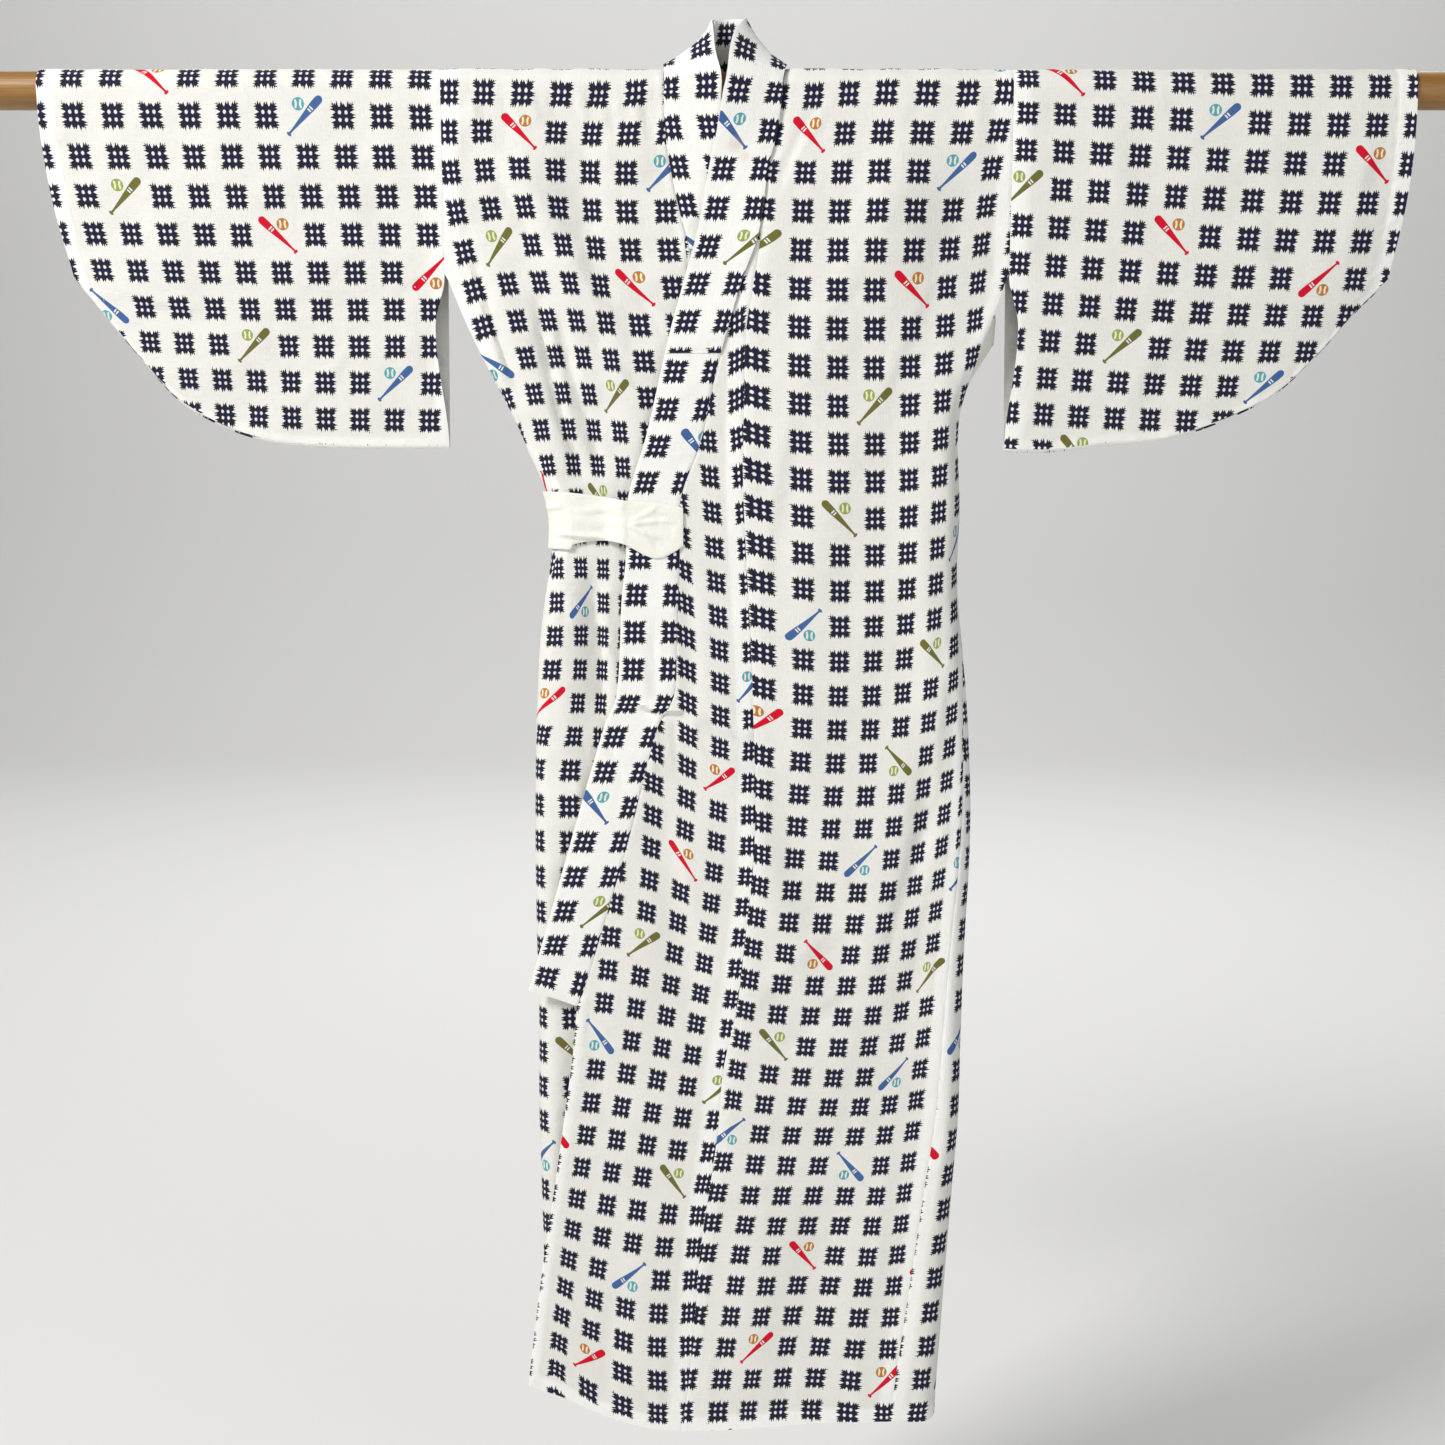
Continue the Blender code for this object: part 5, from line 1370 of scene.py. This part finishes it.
def tie_shell(name, p, relief):
    """A tie's band: rounded at its long edges and gathered by its seams."""
    normal = grid_normals(p)
    p = p + normal * relief[..., None]
    width = np.linalg.norm(p[:, -1] - p[:, 0], axis=-1)[:, None]
    t = np.linspace(0, 1, p.shape[1])[None, :]
    d = np.minimum(t, 1 - t) * width
    run = length_along(p[:, p.shape[1] // 2])
    ends = np.minimum(run, run[-1] - run)[:, None]
    thick = TIE_WALL - 0.9 * bell(d, 1.4) - 0.7 * bell(ends, 1.4)
    uv = (0 * t + run[:, None] / CELL, t * width / CELL)
    thick = np.clip(thick, 0.35, None)
    obj = shell("cloth_" + name, p, uv, 0.0, thick, material=IVORY)
    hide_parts(name)
    return obj


def outer_tie():
    rows = []
    share = np.linspace(0, 1, 5)
    for x, top, bottom in TIE_FRONT:
        z = mix(top, bottom, share)
        rows.append(np.stack([0 * z + x, tie_y(0 * z + x, z), z], -1))
    z = mix(TIE_TURN[0], TIE_TURN[1], share)
    for face in (-1, 1):
        for k in range(5):
            part = k / 4 if face > 0 else 1 - k / 4
            if face > 0 and k == 0:
                continue
            rows.append(on_body(-1, face, z, ring(-1, z)[3] * part * 0.999, TIE_LIFT)[0])
    for x, top, bottom in TIE_BACK:
        z = mix(top, bottom, share)
        rows.append(np.stack([0 * z + x, back_y(0 * z + x, z) + TIE_LIFT, z], -1))
    p = smooth_grid(np.array(rows), 7, 8)
    x, z = p[..., 0], p[..., 2]
    outward = grid_normals(p)
    flip = -1.0 if outward[10, 16, 1] > 0 else 1.0
    run = length_along(p[:, 16])[:, None]
    t = np.linspace(0, 1, p.shape[1])[None, :]
    front = step(5, -5, p[..., 1])
    hand_laid = 1.5 * folds(TIE_CREASES, x, z) * front
    behind = (0.5 * bell(t - 0.72 - 0.03 * np.sin(run / 17), 0.05)
              + 0.35 * bell(t - 0.3 + 0.04 * np.sin(run / 23), 0.06)) * (1 - front)
    soft = 0.2 * np.sin(run / 7.0 + 2.2 * t) * np.sin(3.1 * t)
    relief = np.maximum(hand_laid + behind + soft, -0.25)
    return tie_shell("tie_outer", p, flip * relief)


def inner_tie():
    path = np.array([row[:3] for row in INNER_TIE], float)
    rows = []
    for k, row in enumerate(INNER_TIE):
        ahead = path[min(k + 1, len(path) - 1)] - path[max(k - 1, 0)]
        across = np.cross(ahead, np.array([row[3], row[4], 0.0]))
        across /= np.linalg.norm(across)
        rows.append([path[k] + across * row[5] * (j / 4 - 0.5) for j in range(5)])
    p = smooth_grid(np.array(rows), 5, 5)
    run = length_along(p[:, 10])[:, None]
    t = np.linspace(0, 1, p.shape[1])[None, :]
    relief = 0.2 * np.sin(run / 9 + 3 * t) * np.sin(np.pi * t)
    relief = relief + 0.22 * np.sin(t * 19 + 0.6 * np.sin(run / 25)) * np.sin(np.pi * t)
    return tie_shell("tie_inner", p, relief)


def knot():
    """The flat knot: a wound block with a band round its middle."""
    cx, cy, cz = KNOT_CENTRE
    wide, deep, tall = (v / 2 for v in KNOT_SIZE)
    lat = np.radians(np.linspace(-82, 82, 33))[:, None]
    turn = np.radians(np.linspace(0, 360, 97)[:-1])[None, :]
    size = np.cos(lat) ** 0.42
    cos, sin = np.cos(turn), np.sin(turn)
    px = np.sign(cos) * np.abs(cos) ** 0.6 * wide * size
    pz = np.sign(sin) * np.abs(sin) ** 0.6 * tall * size
    py = np.sin(lat) * deep + 0 * px
    # One pass of the band lies slantwise over the other, and both are pleated
    slant = px * 0.35 + pz
    over = np.exp(-(slant / 13.0) ** 4)
    pleats = (0.45 * np.sin(slant * 0.9) * over
              + 0.4 * np.sin((px * 0.9 - pz * 0.35) * 0.8) * (1 - over))
    py = py + step(0.0, 0.6, np.sin(lat)) * (1.6 * over - 0.84 * (1 - over) + pleats)
    edge = bell(np.abs(slant) - 13.0, 1.6)
    py = py - 1.1 * edge * step(0.0, 0.6, np.sin(lat))
    p = np.stack([cx + px, cy + py, cz + pz], -1)
    n, m = p.shape[:2]
    verts = list((p * 0.001).reshape(-1, 3)) + [p[0].mean(0) * 0.001, p[-1].mean(0) * 0.001]
    faces = []
    for i in range(n - 1):
        for j in range(m):
            k = (j + 1) % m
            faces.append((i * m + j, (i + 1) * m + j, (i + 1) * m + k, i * m + k))
    for j in range(m):
        k = (j + 1) % m
        faces.append((n * m, j, k))
        faces.append((n * m + 1, (n - 1) * m + k, (n - 1) * m + j))
    mesh = bpy.data.meshes.new("cloth_tie_knot")
    mesh.from_pydata([tuple(v) for v in verts], [], faces)
    obj = finish_piece("cloth_tie_knot", mesh, IVORY)
    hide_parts("tie_knot")
    return obj


def tails():
    made = {}
    for name, (top_x, foot_x, length) in TAILS.items():
        t = np.linspace(0, 1, 46)[:, None]
        w = np.linspace(-0.5, 0.5, 19)[None, :]
        width = TAIL_WIDTH * mix(0.55, 1.0, step(0, 0.3, t))
        x = mix(top_x, foot_x, t) + width * w
        z = TAIL_TOP - length * t + 0 * w
        sign = 1 if foot_x > 0 else -1
        y = TAIL_Y + 1.5 * np.sin(math.pi * t) + 0 * w
        y = y + 0.5 * np.sin(w * 15 + sign) * step(0.5, 0, t) + 0.5 * np.sin(5 * t + 4 * w)
        p = np.stack([x, y, z], -1)
        made[name] = tie_shell(name, p, 0.0 * x)
    return made


# Building everything

body_panel(1)
body_panel(-1)
lap_panel(1)
lap_panel(-1)
collar_piece()
over_collar_piece()
sleeve_panel(1)
sleeve_panel(-1)
outer_tie()
inner_tie()
knot()
tails()

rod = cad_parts["rod"]
if not rod.material_slots:
    rod.data.materials.append(OAK)
for one in rod.material_slots:
    one.link = "OBJECT"
    one.material = OAK


# Stage, light and camera

FLOOR_Z = -1.36
SWEEP_Y = 5.0
SWEEP_RADIUS = 2.0
BACKDROP_HALF_WIDTH = 8.0
BACKDROP_GREY = (0.66, 0.655, 0.64)
SKY_COLOUR = (0.86, 0.88, 0.92, 1)
SKY_STRENGTH = 0.24

# Lights: name, place, aim, size, watts and colour
LIGHTS = [
    ("key", (-2.2, -1.7, 1.7), (0, 0, -0.55), (0.8, 0.8), 118, (1.0, 0.985, 0.96)),
    ("fill", (1.9, -2.5, 0.0), (0, 0, -0.6), (1.6, 2.0), 19, (0.96, 0.98, 1.0)),
    ("low", (-0.2, -2.6, -0.7), (0, 0, -0.95), (1.8, 0.5), 10, (1.0, 1.0, 1.0)),
    ("back", (0.5, 3.0, 2.6), (0, 0, -0.5), (3.0, 2.0), 85, (1.0, 1.0, 1.0)),
    ("sweep", (0, 2.6, 3.4), (0, 7.0, 0.3), (7.0, 1.2), 210, (1.0, 1.0, 1.0)),
]

# The photograph's viewing angle
CAMERA_PLACE = (-0.0036, -1.6, -0.2917)
CAMERA_TILT = 82.0
CAMERA_LENS = 47.48


def seamless_backdrop():
    """A pale floor that sweeps up behind the robe."""
    profile = [(-7.0, FLOOR_Z), (SWEEP_Y, FLOOR_Z)]
    for a in np.radians(np.linspace(6, 90, 15)):
        profile.append((SWEEP_Y + SWEEP_RADIUS * math.sin(a), FLOOR_Z + SWEEP_RADIUS * (1 - math.cos(a))))
    profile.append((SWEEP_Y + SWEEP_RADIUS, 5.0))
    verts = [(x, y, z) for y, z in profile for x in (-BACKDROP_HALF_WIDTH, BACKDROP_HALF_WIDTH)]
    faces = [(2 * k, 2 * k + 1, 2 * k + 3, 2 * k + 2) for k in range(len(profile) - 1)]
    mesh = bpy.data.meshes.new("studio_sweep")
    mesh.from_pydata(verts, [], faces)
    mesh.shade_smooth()
    obj = bpy.data.objects.new("studio_sweep", mesh)
    bpy.context.scene.collection.objects.link(obj)
    mesh.materials.append(plain("studio_grey", BACKDROP_GREY, 0.9))


def area_light(name, place, target, size, power, colour):
    data = bpy.data.lights.new(name, "AREA")
    data.shape = "RECTANGLE"
    data.size, data.size_y = size
    data.energy = power
    data.color = colour
    obj = bpy.data.objects.new(name, data)
    bpy.context.scene.collection.objects.link(obj)
    obj.location = place
    aim = np.array(target) - np.array(place)
    flat = math.hypot(aim[0], aim[1])
    obj.rotation_euler = (math.atan2(flat, -aim[2]), 0, math.atan2(aim[1], aim[0]) - math.pi / 2)


seamless_backdrop()
for light in LIGHTS:
    area_light(*light)

world = bpy.data.worlds.new("studio")
world.use_nodes = True
world.node_tree.nodes["Background"].inputs["Color"].default_value = SKY_COLOUR
world.node_tree.nodes["Background"].inputs["Strength"].default_value = SKY_STRENGTH
bpy.context.scene.world = world
bpy.context.scene.view_settings.view_transform = "Standard"

camera = bpy.data.cameras.new("camera")
camera.lens = CAMERA_LENS
camera.sensor_width = 36.0
camera.clip_start = 0.05
holder = bpy.data.objects.new("camera", camera)
bpy.context.scene.collection.objects.link(holder)
holder.location = CAMERA_PLACE
holder.rotation_euler = (math.radians(CAMERA_TILT), 0, 0)
bpy.context.scene.camera = holder
